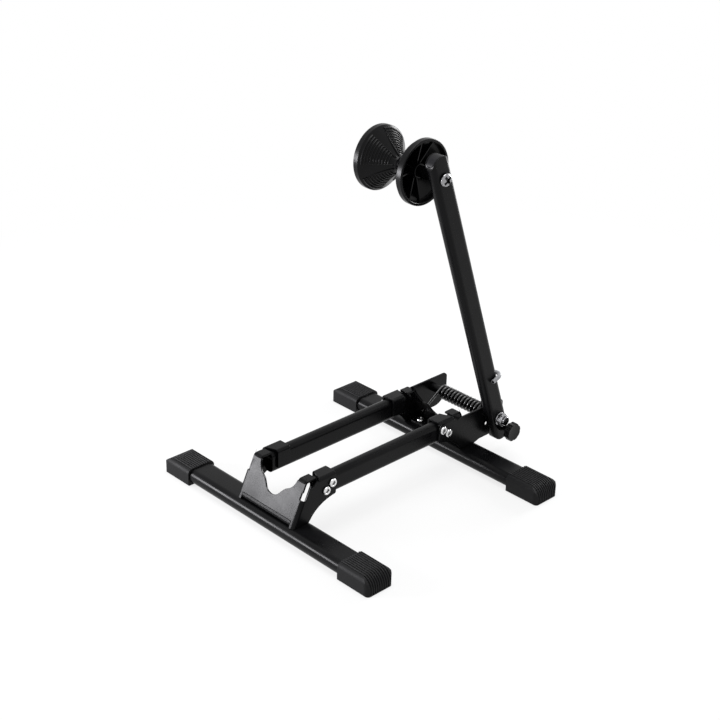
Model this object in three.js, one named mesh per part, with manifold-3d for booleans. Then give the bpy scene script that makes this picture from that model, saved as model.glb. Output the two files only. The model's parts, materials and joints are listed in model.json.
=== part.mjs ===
// Folding floor stand for a bicycle wheel.
// Two cross feet carry a pair of rails. A notched bracket at each foot takes the tyre, and a
// sprung arm behind the rear foot presses an hour-glass roller against the back of the wheel.
// Millimetres. +X runs from the front foot to the rear foot, +Z is up, the floor is z = 0, and the
// origin is the middle of the footprint. The arm stands outside the rail on the -Y side.

import * as THREE from 'three';
import { mergeVertices } from 'three/addons/utils/BufferGeometryUtils.js';
import Module from 'manifold-3d';

const wasm = await Module();
wasm.setup();

// ---------------------------------------------------------------- driving dimensions

const GAP = 0.3; // clearance left between pieces that touch

// cross feet: flat-oval tube with a rubber cap on each end
const FOOT_SPACING = 310; // front foot to rear foot, centre to centre
const FOOT_LENGTH = 400; // over the caps
const FOOT_W = 40;
const FOOT_H = 20;
const FOOT_R = 9;
const FOOT_WALL = 1.5;
const CAP_LENGTH = 54;
const CAP_WALL = 1.9;
const CAP_SOLE = 2.2;
const CAP_TOP = 2.2;
const CAP_END = 9;
const CAP_EDGE_R = 13; // big round where the top runs down over the end
const CAP_CORNER_R = 8;
const CAP_GROOVES = 9;
const CAP_GROOVE_PITCH = 3.3;
const CAP_GROOVE_W = 1.4;
const CAP_GROOVE_DEPTH = 0.9;
const CAP_COLLAR = 6; // plain band at the mouth

// rails and arm are cut from one flat-oval tube
const TUBE_W = 30;
const TUBE_T = 16;
const TUBE_R = 7;
const TUBE_WALL = 1.5;
const RAIL_Y = 44; // rail centre to the middle plane
const RAIL_Z = 62; // rail centre above the floor
const RAIL_SETBACK = 32; // rail end to the foot's centre-line

// pressed steel brackets
const SHEET = 3;
const BEND_R = 2.5; // inside radius at the folds
const TIGHT_R = 1.2; // inside radius over the rail
const PLATE_FOOT = 13.5; // plate's lower edge in front of the foot's centre-line
const PLATE_LEAN = THREE.MathUtils.degToRad(25.2);
const PLATE_HEIGHT = 60.5; // along the slope
const SLIT_START = 39; // above this the fold between plate and cheek is cut away
const SLIT_IN = 6.8; // from the cheek's outer face to the plate's edge beside the cut
const CHEEK_REACH = 60; // cheek's free edge to the foot's centre-line
const CHEEK_DROP = 13.5; // below the rail's centre at the free edge
const CHEEK_TOE = 13; // end of the straight lower edge on the foot
const CLAMP_START = 31; // where the fold over the rail begins, outside
const CLAMP_SKEW = 8; // how much later it begins on the inside
const CLAMP_DROP = 8; // the inner flange's free edge, below the rail's centre
const NOTCH_FLOOR = 27.5; // lowest point of the tyre notch, along the slope
const NOTCH_TOP = 35.5; // half width of the notch at the plate's top
const EAR_W = 14;
const EAR_REACH = 30;
const BASE_DEPTH = 9; // base flange behind the foot's centre-line
const BASE_HALF_W = 47;
const BASE_BOLT_Y = 36;

// pivot plates, which carry the rear bracket's cheeks on behind the foot
const PIVOT_X = 39.7; // pivot behind the rear foot's centre-line
const PIVOT_Z = 60.5;
const PLATE_TAIL = 30; // pivot to the plates' rear edge
const PLATE_TOP = 73.5;
const PLATE_TOP_START = 5; // its front end behind the cross plate's top
const TAIL_CORNER_R = 6;
const TAIL_ROUND_R = 25;
const TAIL_LIFT = 3; // the plates' lower edge behind the foot, above the foot

// small button-head bolts, all alike
const BOLT_R = 3;
const BOLT_HEAD_R = 5.8;
const BOLT_HEAD_H = 3.2;
const BOLT_LENGTH = 12;
const BOLT_SOCKET_R = 2.3;
const SIDE_BOLTS = [[42.5, -2.5], [53, 5]]; // from the foot's centre-line, and from the rail's centre

// arm
const ARM_LEAN = THREE.MathUtils.degToRad(19.8);
const ARM_REACH = 402.3; // pivot to roller axle
const ARM_TOE = 21.6; // pivot to the centre of the lower round end
const ARM_HEAD = 17; // roller axle to the centre of the upper round end
const ARM_STANDOFF = 4.4; // pivot plate to arm

// pivot hardware
const PIVOT_R = 5;
const SLEEVE_R = 6.5;
const SPACER_R = 9.5;
const BUSH_R = 7;
const NUT_AF = 16;
const NUT_H = 8;
const NUT_FLANGE_R = 9.3;
const NUT_FLANGE_H = 1.8;
const NUT_COLLAR_R = 6.8;
const NUT_COLLAR_H = 2.4;
const PIVOT_HEAD_H = 6;

// pull pin that locks the arm
const LOCK_DROP = 15.5; // pivot to pull pin
const LOCK_R = 3;
const LOCK_BUSH_R = 5.6;
const LOCK_BUSH_OUT = 4; // bush above the arm's face
const LOCK_END_WALL = 4; // bush's outer end, which the pin's spring pushes on
const LOCK_COLLAR_R = 4.1; // pin's collar, which the spring pushes away from that end
const LOCK_COLLAR_H = 1.2;
const LOCK_COLLAR_IN = 0.8; // collar behind the bush's inner end
const LOCK_SPRING_R = 3.75; // middle of the wire
const LOCK_WIRE_R = 0.4;
const LOCK_SPRING_TURNS = 5;
const LOCK_TURNS = [0, -28.7, 71]; // arm angles that have an index hole, degrees forward
const KNOB_R = 12.4;
const KNOB_H = 10;
const KNOB_RIM = 4; // straight part of the knob's side
const KNOB_LOBES = 8;
const KNOB_LOBE = 0.9;
const KNOB_NECK_R = 4.6;
const KNOB_NECK_H = 8.5;
const KNOB_BORE = 8;

// torsion spring
const WIRE_R = 2;
const COIL_R = 9;
const COIL_TURNS = 10;
const COIL_PITCH = 8;
const COIL_FAR_Y = 31; // where the coil ends on the far side
const LEG_ANGLE = THREE.MathUtils.degToRad(33.5); // fixed leg, below the horizontal
const LEG_LENGTH = 45;
const LEG_HOLE_R = 2.9;
const HOOK_RISE = 69.5; // hook above the pivot, along the arm
const HOOK_BEND_R = 7;
const HOOK_TAIL = 0.5; // where the hook ends on the arm's face, behind the arm's middle
const HOOK_SLEEVE_R = 2.9; // soft sleeve over the hook
const HOOK_SLEEVE_BORE = 2.3;

// hour-glass roller
const ROLLER_R = 42.5;
const ROLLER_HALF = 42.2; // half width
const RIM_T = 8.4;
const RIM_WALL = 3.6;
const WAIST_R = 9.2;
const CONE_WALL = 3;
const CONE_HOLLOW = 1.1; // depth of the slight bend at the middle of the flank
const HUB_R = 9.5;
const HUB_TOP = 34; // hub's end from the middle plane
const AXLE_R = 5;
const AXLE_HEAD_R = 8.7;
const AXLE_HEAD_H = 5.2;
const AXLE_NUT_AF = 15;
const AXLE_NUT_H = 5.4;
const AXLE_SPACER_R = 7.5;
const QUARTERS = 4; // the pattern on the roller repeats four times
const SECTOR = Math.PI / 3; // stepped part of each quarter; the rest is smooth
const WEB_T = 1.8;
const WEB_DEPTH = 6; // free edge of a web below the rim's edge
const FLUTES = 8; // steps across a stepped sector
const FLUTE_H = 0.9;
const FLUTE_FOOT = 0.1; // lowest part of a step above the smooth flank
const FLUTED = [0.14, 0.94]; // stretch of the flank that is stepped, from waist to rim
const SPOKE_W = 1.8;
const SPOKE_H = 1.3;
const ROLLER_SEGMENTS = 24;

// ---------------------------------------------------------------- places that follow

const FOOT_Z = CAP_SOLE + GAP + FOOT_H / 2;
const FOOT_TOP = FOOT_Z + FOOT_H / 2;
const BASE_Z = FOOT_TOP + GAP;
const CAP_W = FOOT_W + 2 * (GAP + CAP_WALL);
const CAP_H = CAP_SOLE + CAP_TOP + FOOT_H + 2 * GAP;
const RAIL_OUT = RAIL_Y + TUBE_T / 2;
const CHEEK_IN = RAIL_OUT + GAP;
const CHEEK_OUT = CHEEK_IN + SHEET;
const CHEEK_MID = CHEEK_IN + SHEET / 2;
const CLAMP_Z = RAIL_Z + TUBE_W / 2 + GAP + SHEET / 2; // middle of the sheet over the rail
const CLAMP_IN = RAIL_Y - TUBE_T / 2 - GAP - SHEET / 2; // middle of the sheet inside the rail
const REAR_REACH = PIVOT_X + PLATE_TAIL;
const X_FRONT = -(FOOT_SPACING + REAR_REACH - CAP_W / 2) / 2;
const X_REAR = X_FRONT + FOOT_SPACING;
const X_PIVOT = X_REAR + PIVOT_X;
const ARM_IN = -(CHEEK_OUT + ARM_STANDOFF); // arm's face towards the stand
const ARM_OUT = ARM_IN - TUBE_T;
const ARM_Y = (ARM_IN + ARM_OUT) / 2;
const NUT_Y = ARM_OUT - GAP;
const COIL_NEAR_Y = COIL_FAR_Y - COIL_TURNS * COIL_PITCH;

// ---------------------------------------------------------------- materials

const finish = (color, roughness, metalness) => new THREE.MeshStandardMaterial({ color, roughness, metalness });
const PAINT = finish(0x111113, 0.42, 0.35);
const RUBBER = finish(0x18181a, 0.85, 0);
const PLASTIC = finish(0x141416, 0.5, 0);
const PLUG = finish(0x2a2b30, 0.45, 0);
const CHROME = finish(0xd4d6d8, 0.16, 1);
const SPRING = finish(0x0d0d0f, 0.3, 0.7);
const SLEEVE = finish(0xb9babb, 0.35, 0);

// ---------------------------------------------------------------- outlines

const v2 = (x, y) => new THREE.Vector2(x, y);

// points of an arc, from angle a0 to a1 in steps
function arc(cx, cy, r, a0, a1, steps) {
  const points = [];
  for (let i = 0; i <= steps; i++) {
    const a = a0 + ((a1 - a0) * i) / steps;
    points.push(v2(cx + r * Math.cos(a), cy + r * Math.sin(a)));
  }
  return points;
}

// a box with its own radius at each corner: lower left, lower right, upper right, upper left
function roundBox(x0, y0, x1, y1, [ll, lr, ur, ul], steps = 4) {
  const q = Math.PI / 2;
  return [
    ...arc(x0 + ll, y0 + ll, ll, 2 * q, 3 * q, steps),
    ...arc(x1 - lr, y0 + lr, lr, 3 * q, 4 * q, steps),
    ...arc(x1 - ur, y1 - ur, ur, 0, q, steps),
    ...arc(x0 + ul, y1 - ul, ul, q, 2 * q, steps),
  ];
}

function ovalPoints(w, h, r) {
  return roundBox(-w / 2, -h / 2, w / 2, h / 2, [r, r, r, r]);
}

// a flat-oval tube's section, open inside
function tubeSection(w, h, r, wall) {
  const shape = new THREE.Shape(ovalPoints(w, h, r));
  shape.holes.push(new THREE.Path(ovalPoints(w - 2 * wall, h - 2 * wall, r - wall)));
  return shape;
}

// bent sheet seen on edge: the middle line's corners get an inside radius, and the sheet's
// two faces lie half a thickness to either side
function bentStrip(path, thickness, insideR, steps = 3) {
  const radius = insideR + thickness / 2;
  const corners = path.map(([a, b]) => v2(a, b));
  const left = [];
  const right = [];
  const put = (point, normal) => {
    left.push(point.clone().addScaledVector(normal, thickness / 2));
    right.push(point.clone().addScaledVector(normal, -thickness / 2));
  };
  const across = (from, to) => {
    const d = to.clone().sub(from).normalize();
    return v2(-d.y, d.x);
  };
  put(corners[0], across(corners[0], corners[1]));
  for (let i = 1; i < corners.length - 1; i++) {
    const d0 = corners[i].clone().sub(corners[i - 1]).normalize();
    const d1 = corners[i + 1].clone().sub(corners[i]).normalize();
    const turn = Math.atan2(d0.cross(d1), d0.dot(d1));
    const n0 = v2(-d0.y, d0.x);
    const start = corners[i].clone().addScaledVector(d0, -radius * Math.tan(Math.abs(turn) / 2));
    const centre = start.clone().addScaledVector(n0, Math.sign(turn) * radius);
    for (let k = 0; k <= steps; k++) {
      const angle = (turn * k) / steps;
      const point = start.clone().rotateAround(centre, angle);
      put(point, n0.clone().rotateAround(v2(0, 0), angle));
    }
  }
  const last = corners.length - 1;
  put(corners[last], across(corners[last - 1], corners[last]));
  return [...left, ...right.reverse()];
}

// ---------------------------------------------------------------- solids

function toSolid(geometry) {
  const bare = geometry.clone();
  bare.deleteAttribute('normal');
  bare.deleteAttribute('uv');
  const merged = mergeVertices(bare, 1e-4);
  return new wasm.Manifold(new wasm.Mesh({
    numProp: 3,
    vertProperties: new Float32Array(merged.attributes.position.array),
    triVerts: new Uint32Array(merged.index.array),
  }));
}

function toGeometry(solid) {
  const { vertProperties, triVerts } = solid.getMesh();
  const geometry = new THREE.BufferGeometry();
  geometry.setAttribute('position', new THREE.BufferAttribute(new Float32Array(vertProperties), 3));
  geometry.setIndex(new THREE.BufferAttribute(new Uint32Array(triVerts), 1));
  geometry.computeVertexNormals();
  return geometry;
}

const asShape = (outline) => (outline instanceof THREE.Shape ? outline : new THREE.Shape(outline));

function extrude(outline, depth) {
  return new THREE.ExtrudeGeometry(asShape(outline), { depth, bevelEnabled: false, curveSegments: 8 });
}

// an (x, z) outline between two y values
function alongY(outline, y0, y1) {
  return toSolid(extrude(outline, y1 - y0).rotateX(Math.PI / 2).translate(0, y1, 0));
}

// a (y, z) outline between two x values
function alongX(outline, x0, x1) {
  const turn = new THREE.Matrix4().makeBasis(
    new THREE.Vector3(0, 1, 0), new THREE.Vector3(0, 0, 1), new THREE.Vector3(1, 0, 0));
  return toSolid(extrude(outline, x1 - x0).applyMatrix4(turn).translate(x0, 0, 0));
}

// an (x, y) outline between two z values
function alongZ(outline, z0, z1) {
  return toSolid(extrude(outline, z1 - z0).translate(0, 0, z0));
}

function box(x0, x1, y0, y1, z0, z1) {
  const geometry = new THREE.BoxGeometry(x1 - x0, y1 - y0, z1 - z0);
  return toSolid(geometry.translate((x0 + x1) / 2, (y0 + y1) / 2, (z0 + z1) / 2));
}

// a round bar along Y
function barY(x, z, r, y0, y1, segments = 20) {
  const geometry = new THREE.CylinderGeometry(r, r, y1 - y0, segments);
  return toSolid(geometry.translate(x, (y0 + y1) / 2, z));
}

// a round bar along Z
function barZ(x, y, r, z0, z1, segments = 24) {
  const geometry = new THREE.CylinderGeometry(r, r, z1 - z0, segments).rotateX(Math.PI / 2);
  return toSolid(geometry.translate(x, y, (z0 + z1) / 2));
}

// a hexagonal bar along Y, by its width across flats
function hexY(af, y0, y1) {
  const geometry = new THREE.CylinderGeometry(af / Math.sqrt(3), af / Math.sqrt(3), y1 - y0, 6);
  return toSolid(geometry.translate(0, (y0 + y1) / 2, 0));
}

// a ring along Y
function ringY(x, z, outer, inner, y0, y1, segments = 20) {
  return barY(x, z, outer, y0, y1, segments).subtract(barY(x, z, inner, y0 - 1, y1 + 1, segments));
}

// a profile of (radius, y) points turned round the Y axis
function turned(profile, segments) {
  return toSolid(new THREE.LatheGeometry(profile.map(([r, y]) => v2(r, y)), segments));
}

const both = (make) => make(1).add(make(-1));

// ---------------------------------------------------------------- scene graph

const stand = new THREE.Group();
const front = new THREE.Group();
front.position.x = X_FRONT;
const rear = new THREE.Group(); // its own +X also points into the stand
rear.position.x = X_REAR;
rear.rotation.z = Math.PI;
const pivot = new THREE.Group();
pivot.position.set(X_PIVOT, 0, PIVOT_Z);
const arm = new THREE.Group(); // its own +Z runs up the arm
arm.rotation.y = -ARM_LEAN;
const axle = new THREE.Group();
axle.position.z = ARM_REACH;
const roller = new THREE.Group(); // stands upright whatever the arm's lean
roller.rotation.y = ARM_LEAN;
stand.add(front, rear, pivot);
pivot.add(arm);
arm.add(axle);
axle.add(roller);

function place(parent, name, solid, material, turn = null) {
  const mesh = new THREE.Mesh(solid.isBufferGeometry ? solid : toGeometry(solid), material);
  mesh.name = name;
  if (turn) turn(mesh);
  parent.add(mesh);
  return mesh;
}

// ---------------------------------------------------------------- feet

function footTube() {
  const half = FOOT_LENGTH / 2 - CAP_END - GAP;
  const section = tubeSection(FOOT_W, FOOT_H, FOOT_R, FOOT_WALL);
  const tube = toSolid(extrude(section, 2 * half).rotateX(Math.PI / 2).translate(0, half, FOOT_Z));
  return tube.subtract(both((side) => barZ(0, side * BASE_BOLT_Y, BOLT_R + GAP, FOOT_Z, FOOT_TOP + 1, 16)));
}

// the cap's side view: the mouth is at y = 0 and the closed end at y = CAP_LENGTH
function capSide(inset) {
  return roundBox(0, 0, CAP_LENGTH - inset, CAP_H - inset, [0.01, 1.5, CAP_EDGE_R - inset, 0.01], 4);
}

// one groove: it runs along the top, round the big edge and down the end
function capGroove(x) {
  const depth = CAP_GROOVE_DEPTH;
  const edge = arc(CAP_LENGTH - CAP_EDGE_R, CAP_H - CAP_EDGE_R, CAP_EDGE_R - depth, Math.PI / 2, 0, 3);
  const outline = [
    v2(CAP_COLLAR, CAP_H - depth), ...edge, v2(CAP_LENGTH - depth, CAP_SOLE),
    v2(CAP_LENGTH + 2, CAP_SOLE), v2(CAP_LENGTH + 2, CAP_H + 2), v2(CAP_COLLAR, CAP_H + 2),
  ];
  return alongX(outline, x - CAP_GROOVE_W / 2, x + CAP_GROOVE_W / 2);
}

function footCap() {
  const corners = [2, 2, CAP_CORNER_R, CAP_CORNER_R];
  const bar = alongY(roundBox(-CAP_W / 2, 0, CAP_W / 2, CAP_H, corners), 0, CAP_LENGTH);
  const body = bar.intersect(alongX(capSide(0), -CAP_W, CAP_W));
  const bore = ovalPoints(FOOT_W + 2 * GAP, FOOT_H + 2 * GAP, FOOT_R + GAP);
  const pocket = toSolid(extrude(bore, CAP_LENGTH - CAP_END + 1).rotateX(Math.PI / 2)
    .translate(0, CAP_LENGTH - CAP_END, FOOT_Z));
  let cap = body.subtract(pocket);
  for (let i = 0; i < CAP_GROOVES; i++) {
    cap = cap.subtract(capGroove((i - (CAP_GROOVES - 1) / 2) * CAP_GROOVE_PITCH));
  }
  return cap;
}

function addFoot(parent, name) {
  place(parent, `${name}_foot_tube`, footTube(), PAINT);
  const cap = toGeometry(footCap());
  const mouth = FOOT_LENGTH / 2 - CAP_LENGTH;
  const farSign = parent === rear ? -1 : 1; // the rear group is turned round
  for (const [label, side] of [['far', farSign], ['near', -farSign]]) {
    place(parent, `${name}_${label}_cap`, cap, RUBBER, (mesh) => {
      mesh.rotation.z = side > 0 ? 0 : Math.PI;
      mesh.position.y = side * mouth;
    });
  }
}

// ---------------------------------------------------------------- rails

function rail() {
  const half = FOOT_SPACING / 2 - RAIL_SETBACK;
  const section = tubeSection(TUBE_T, TUBE_W, TUBE_R, TUBE_WALL);
  let tube = alongX(section, -half, half);
  for (const end of [-1, 1]) {
    for (const [x, z] of SIDE_BOLTS) {
      tube = tube.subtract(barY(end * (FOOT_SPACING / 2 - x), z, BOLT_R + GAP, 0, TUBE_T, 12));
    }
  }
  return tube; // its bolt holes are on the +Y side
}

function addRails() {
  const tube = toGeometry(rail());
  const middle = (X_FRONT + X_REAR) / 2;
  for (const [name, side] of [['rail_far', 1], ['rail_near', -1]]) {
    place(stand, name, tube, PAINT, (mesh) => {
      mesh.rotation.z = side > 0 ? 0 : Math.PI;
      mesh.position.set(middle, side * RAIL_Y, RAIL_Z);
    });
  }
}

// ---------------------------------------------------------------- brackets
// Drawn from the foot's centre-line, with +X into the stand.

const SLOPE = v2(Math.sin(PLATE_LEAN), Math.cos(PLATE_LEAN)); // up the plate, in (x, z)
const INTO = v2(Math.cos(PLATE_LEAN), -Math.sin(PLATE_LEAN)); // through the plate, in (x, z)

// the (x, z) of a point s up the plate and p behind its outer face
function onPlate(s, p) {
  return v2(-PLATE_FOOT + s * SLOPE.x + p * INTO.x, BASE_Z + s * SLOPE.y + p * INTO.y);
}

// a (y, s) outline through the plate, from depth p0 to p1
function throughPlate(outline, p0, p1) {
  const start = onPlate(0, p0);
  const turn = new THREE.Matrix4().makeBasis(
    new THREE.Vector3(0, 1, 0), new THREE.Vector3(SLOPE.x, 0, SLOPE.y), new THREE.Vector3(INTO.x, 0, INTO.y));
  return toSolid(extrude(outline, p1 - p0).applyMatrix4(turn).translate(start.x, 0, start.y));
}

// a (p, y) outline run up the slope, from s0 to s1
function upSlope(outline, s0, s1) {
  const start = onPlate(s0, 0);
  const turn = new THREE.Matrix4().makeBasis(
    new THREE.Vector3(INTO.x, 0, INTO.y), new THREE.Vector3(0, 1, 0), new THREE.Vector3(SLOPE.x, 0, SLOPE.y));
  return toSolid(extrude(outline, s1 - s0).applyMatrix4(turn).translate(start.x, 0, start.y));
}

// tyre notch: a narrow throat that opens into two shoulders
function notch() {
  const rise = PLATE_HEIGHT - NOTCH_FLOOR;
  const half = [[0, 0], [0.17, 0.03], [0.31, 0.13], [0.44, 0.3], [0.57, 0.45], [0.76, 0.57], [0.88, 0.71],
    [0.96, 0.88], [1, 1.12]];
  const curve = new THREE.SplineCurve(half.map(([a, b]) => v2(a * NOTCH_TOP, NOTCH_FLOOR + b * rise)));
  const side = curve.getPoints(14);
  const mirrored = side.slice(1).reverse().map((p) => v2(-p.x, p.y));
  const lid = PLATE_HEIGHT + 3 * SHEET;
  return throughPlate([v2(-NOTCH_TOP, lid), ...mirrored, ...side, v2(NOTCH_TOP, lid)], -SHEET, 2 * SHEET);
}

// the cheek's lower edge sweeps up from the foot to the free edge
function cheekSweep() {
  const free = RAIL_Z - CHEEK_DROP;
  const curve = new THREE.CubicBezierCurve(
    v2(CHEEK_TOE + 3, BASE_Z + 3.2), v2(CHEEK_TOE + 13, free - 7.5), v2(CHEEK_REACH - 16, free - 1.5),
    v2(CHEEK_REACH - 1.5, free));
  return [v2(CHEEK_TOE, BASE_Z), ...curve.getPoints(8), v2(CHEEK_REACH, free + 1.5)];
}

// the fold over the rail: outer cheek, top, and a flange down the rail's inner side
function railClamp(side) {
  const low = RAIL_Z - CLAMP_DROP;
  const path = [[CHEEK_MID, RAIL_Z], [CHEEK_MID, CLAMP_Z], [CLAMP_IN, CLAMP_Z], [CLAMP_IN, low]];
  const strip = bentStrip(path.map(([y, z]) => [side * y, z]), SHEET, TIGHT_R);
  const start = CLAMP_START + CLAMP_SKEW;
  const skew = [
    v2(CLAMP_START - 9, side * (CHEEK_OUT + 1)), v2(CLAMP_START - 0.4, side * (CHEEK_OUT + 1)),
    v2(start, side * (CLAMP_IN + SHEET)), v2(start, side * (CLAMP_IN - SHEET)),
    v2(CLAMP_START - 9, side * (CLAMP_IN - SHEET)),
  ];
  return alongX(strip, CLAMP_START - 3, CHEEK_REACH).subtract(alongZ(skew, RAIL_Z - TUBE_W, CLAMP_Z + SHEET));
}

// the tab that folds back from the plate's top beside the notch
function ear(side) {
  const root = onPlate(PLATE_HEIGHT - 12, SHEET / 2);
  const rise = (CLAMP_Z - root.y) / SLOPE.y;
  const corner = v2(root.x + rise * SLOPE.x, CLAMP_Z);
  const strip = bentStrip([[root.x, root.y], [corner.x, corner.y], [EAR_REACH, CLAMP_Z]], SHEET, BEND_R);
  const inner = NOTCH_TOP + 0.5;
  return side > 0 ? alongY(strip, inner, inner + EAR_W) : alongY(strip, -inner - EAR_W, -inner);
}

// the base flange that folds back from the plate's lower edge on to the foot
function baseFlange() {
  const top = onPlate(14, SHEET / 2);
  const z = BASE_Z + SHEET / 2;
  const foot = top.x - ((top.y - z) / SLOPE.y) * SLOPE.x;
  return alongY(bentStrip([[top.x, top.y], [foot, z], [BASE_DEPTH, z]], SHEET, TIGHT_R), -BASE_HALF_W, BASE_HALF_W);
}

// room for the base flange's fold at the foot of the plate
function baseRelief() {
  return box(-2 * PLATE_FOOT, CHEEK_TOE, -BASE_HALF_W, BASE_HALF_W, BASE_Z - 1, BASE_Z + 9);
}

const PLATE_EDGE = CHEEK_OUT - SLIT_IN; // the plate's side edge beside the cut

// the cuts that free the plate's upper corners from the cheeks
function slits() {
  return both((side) => {
    const y0 = side * PLATE_EDGE;
    const y1 = side * (CHEEK_OUT + 1);
    const outline = [v2(y0, SLIT_START), v2(y1, SLIT_START), v2(y1, 2 * PLATE_HEIGHT), v2(y0, 2 * PLATE_HEIGHT)];
    return throughPlate(outline, -1, SHEET + BEND_R);
  });
}

function bracketHoles() {
  let holes = both((side) => barZ(0, side * BASE_BOLT_Y, BOLT_R + GAP, BASE_Z - 1, BASE_Z + SHEET + 1, 12));
  for (const [x, z] of SIDE_BOLTS) {
    holes = holes.add(both((side) => {
      const [y0, y1] = side > 0 ? [CHEEK_IN - 1, CHEEK_OUT + 1] : [-CHEEK_OUT - 1, -CHEEK_IN + 1];
      return barY(x, RAIL_Z + z, BOLT_R + GAP, y0, y1, 12);
    }));
  }
  return holes;
}

const CHEEK_RIM = CLAMP_Z - TIGHT_R - SHEET / 2; // where the cheek's flat ends under the fold

// front bracket: the plate and its cheeks are one folded channel
function frontBracket() {
  const channel = bentStrip(
    [[CHEEK_REACH + 30, CHEEK_MID], [SHEET / 2, CHEEK_MID], [SHEET / 2, -CHEEK_MID], [CHEEK_REACH + 30, -CHEEK_MID]],
    SHEET, BEND_R);
  const outline = [
    v2(-3 * PLATE_FOOT, BASE_Z), ...cheekSweep(), v2(CHEEK_REACH, CHEEK_RIM), v2(CLAMP_START - 3, CHEEK_RIM),
    v2(CLAMP_START - 12, CHEEK_RIM - 5), onPlate(PLATE_HEIGHT, 2 * SHEET), onPlate(PLATE_HEIGHT, -2 * SHEET),
    v2(-3 * PLATE_FOOT, BASE_Z + 30),
  ];
  const folded = upSlope(channel, -40, 110).intersect(alongY(outline, -CHEEK_OUT - 5, CHEEK_OUT + 5));
  return folded.subtract(baseRelief()).subtract(slits()).subtract(notch())
    .add(baseFlange()).add(both(ear)).add(both(railClamp)).subtract(bracketHoles());
}

// the rear bracket's side plate, which runs on behind the foot to the pivot
function sidePlate() {
  const tail = -REAR_REACH;
  const low = BASE_Z + TAIL_LIFT;
  const start = onPlate(PLATE_HEIGHT, SHEET + PLATE_TOP_START);
  return [
    ...cheekSweep(), v2(CHEEK_REACH, CHEEK_RIM), v2(CLAMP_START - 3, CHEEK_RIM),
    v2(start.x + 4, CHEEK_RIM - 4), v2(start.x, PLATE_TOP),
    ...arc(tail + TAIL_CORNER_R, PLATE_TOP - TAIL_CORNER_R, TAIL_CORNER_R, Math.PI / 2, Math.PI, 4),
    ...arc(tail + TAIL_ROUND_R, low + TAIL_ROUND_R, TAIL_ROUND_R, Math.PI, 1.5 * Math.PI, 8),
    v2(-PLATE_FOOT - 10, low), v2(-PLATE_FOOT, BASE_Z),
  ];
}

// holes in the near pivot plate that the pull pin can drop into
function indexHoles() {
  let holes = null;
  for (const turn of LOCK_TURNS) {
    const angle = ARM_LEAN + THREE.MathUtils.degToRad(turn);
    const x = -PIVOT_X - LOCK_DROP * Math.sin(angle);
    const z = PIVOT_Z - LOCK_DROP * Math.cos(angle);
    const hole = barY(x, z, LOCK_R + GAP, CHEEK_IN - 1, CHEEK_OUT + 1, 16);
    holes = holes ? holes.add(hole) : hole;
  }
  return holes;
}

// where the spring's fixed leg leaves the coil, from the pivot, in (x, z)
const LEG_START = v2(-COIL_R * Math.sin(LEG_ANGLE), COIL_R * Math.cos(LEG_ANGLE));
const LEG_WAY = v2(-Math.cos(LEG_ANGLE), -Math.sin(LEG_ANGLE));

function legHole() {
  const long = 2 * LEG_LENGTH;
  const bar = new THREE.CylinderGeometry(LEG_HOLE_R, LEG_HOLE_R, long, 16).rotateZ(Math.PI / 2)
    .translate(-long / 2, 0, 0).rotateY(-LEG_ANGLE)
    .translate(X_PIVOT + LEG_START.x, COIL_FAR_Y, PIVOT_Z + LEG_START.y)
    .translate(-X_REAR, 0, 0).rotateZ(Math.PI);
  return toSolid(bar);
}

// rear bracket: two side plates with the notched cross plate welded between them
function rearBracket() {
  const bite = 1; // how far the cross plate runs into the side plates
  const sides = both((side) => (side > 0
    ? alongY(sidePlate(), CHEEK_IN, CHEEK_OUT) : alongY(sidePlate(), -CHEEK_OUT, -CHEEK_IN)));
  const low = CHEEK_IN + bite;
  const high = PLATE_EDGE;
  const cross = throughPlate([
    v2(-low, 0), v2(low, 0), v2(low, SLIT_START), v2(high, SLIT_START), v2(high, PLATE_HEIGHT),
    v2(-high, PLATE_HEIGHT), v2(-high, SLIT_START), v2(-low, SLIT_START),
  ], 0, SHEET);
  const floor = box(-3 * PLATE_FOOT, CHEEK_REACH, -2 * CHEEK_OUT, 2 * CHEEK_OUT, BASE_Z - 20, BASE_Z);
  const pivotHole = barY(-PIVOT_X, PIVOT_Z, PIVOT_R + GAP, -2 * CHEEK_OUT, 2 * CHEEK_OUT);
  return cross.subtract(baseRelief()).subtract(floor).subtract(notch()).add(sides)
    .add(baseFlange()).add(both(ear)).add(both(railClamp))
    .subtract(bracketHoles()).subtract(pivotHole).subtract(indexHoles()).subtract(legHole());
}

// ---------------------------------------------------------------- bolts

// button-head bolt along +Y: the head's underside is at y = 0 and the shank runs to -Y
function buttonBolt(headR, headH, shankR, length, socketR, segments) {
  const dome = arc(0, 0, 1, 0, Math.PI / 2, 2).map((p) => [headR * (0.45 + 0.55 * p.x), headH * (0.25 + 0.75 * p.y)]);
  const profile = [[0, -length], [shankR, -length], [shankR, 0], [headR, 0], ...dome, [0, headH]];
  const socket = new THREE.CylinderGeometry(socketR, socketR, headH, 6).translate(0, headH, 0);
  return turned(profile, segments).subtract(toSolid(socket));
}

function addBracketBolts(parent, name) {
  const bolt = toGeometry(buttonBolt(BOLT_HEAD_R, BOLT_HEAD_H, BOLT_R, BOLT_LENGTH, BOLT_SOCKET_R, 12));
  const farSign = parent === rear ? -1 : 1;
  for (const [label, side] of [['far', farSign], ['near', -farSign]]) {
    SIDE_BOLTS.forEach(([x, z], i) => {
      place(parent, `${name}_${label}_rail_bolt_${i + 1}`, bolt, CHROME, (mesh) => {
        mesh.rotation.z = side > 0 ? 0 : Math.PI;
        mesh.position.set(x, side * (CHEEK_OUT + GAP), RAIL_Z + z);
      });
    });
    place(parent, `${name}_${label}_base_bolt`, bolt, CHROME, (mesh) => {
      mesh.rotation.x = Math.PI / 2;
      mesh.position.set(0, side * BASE_BOLT_Y, BASE_Z + SHEET + GAP);
    });
  }
}

// ---------------------------------------------------------------- pivot hardware
// Drawn from the pivot's axis.

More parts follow.
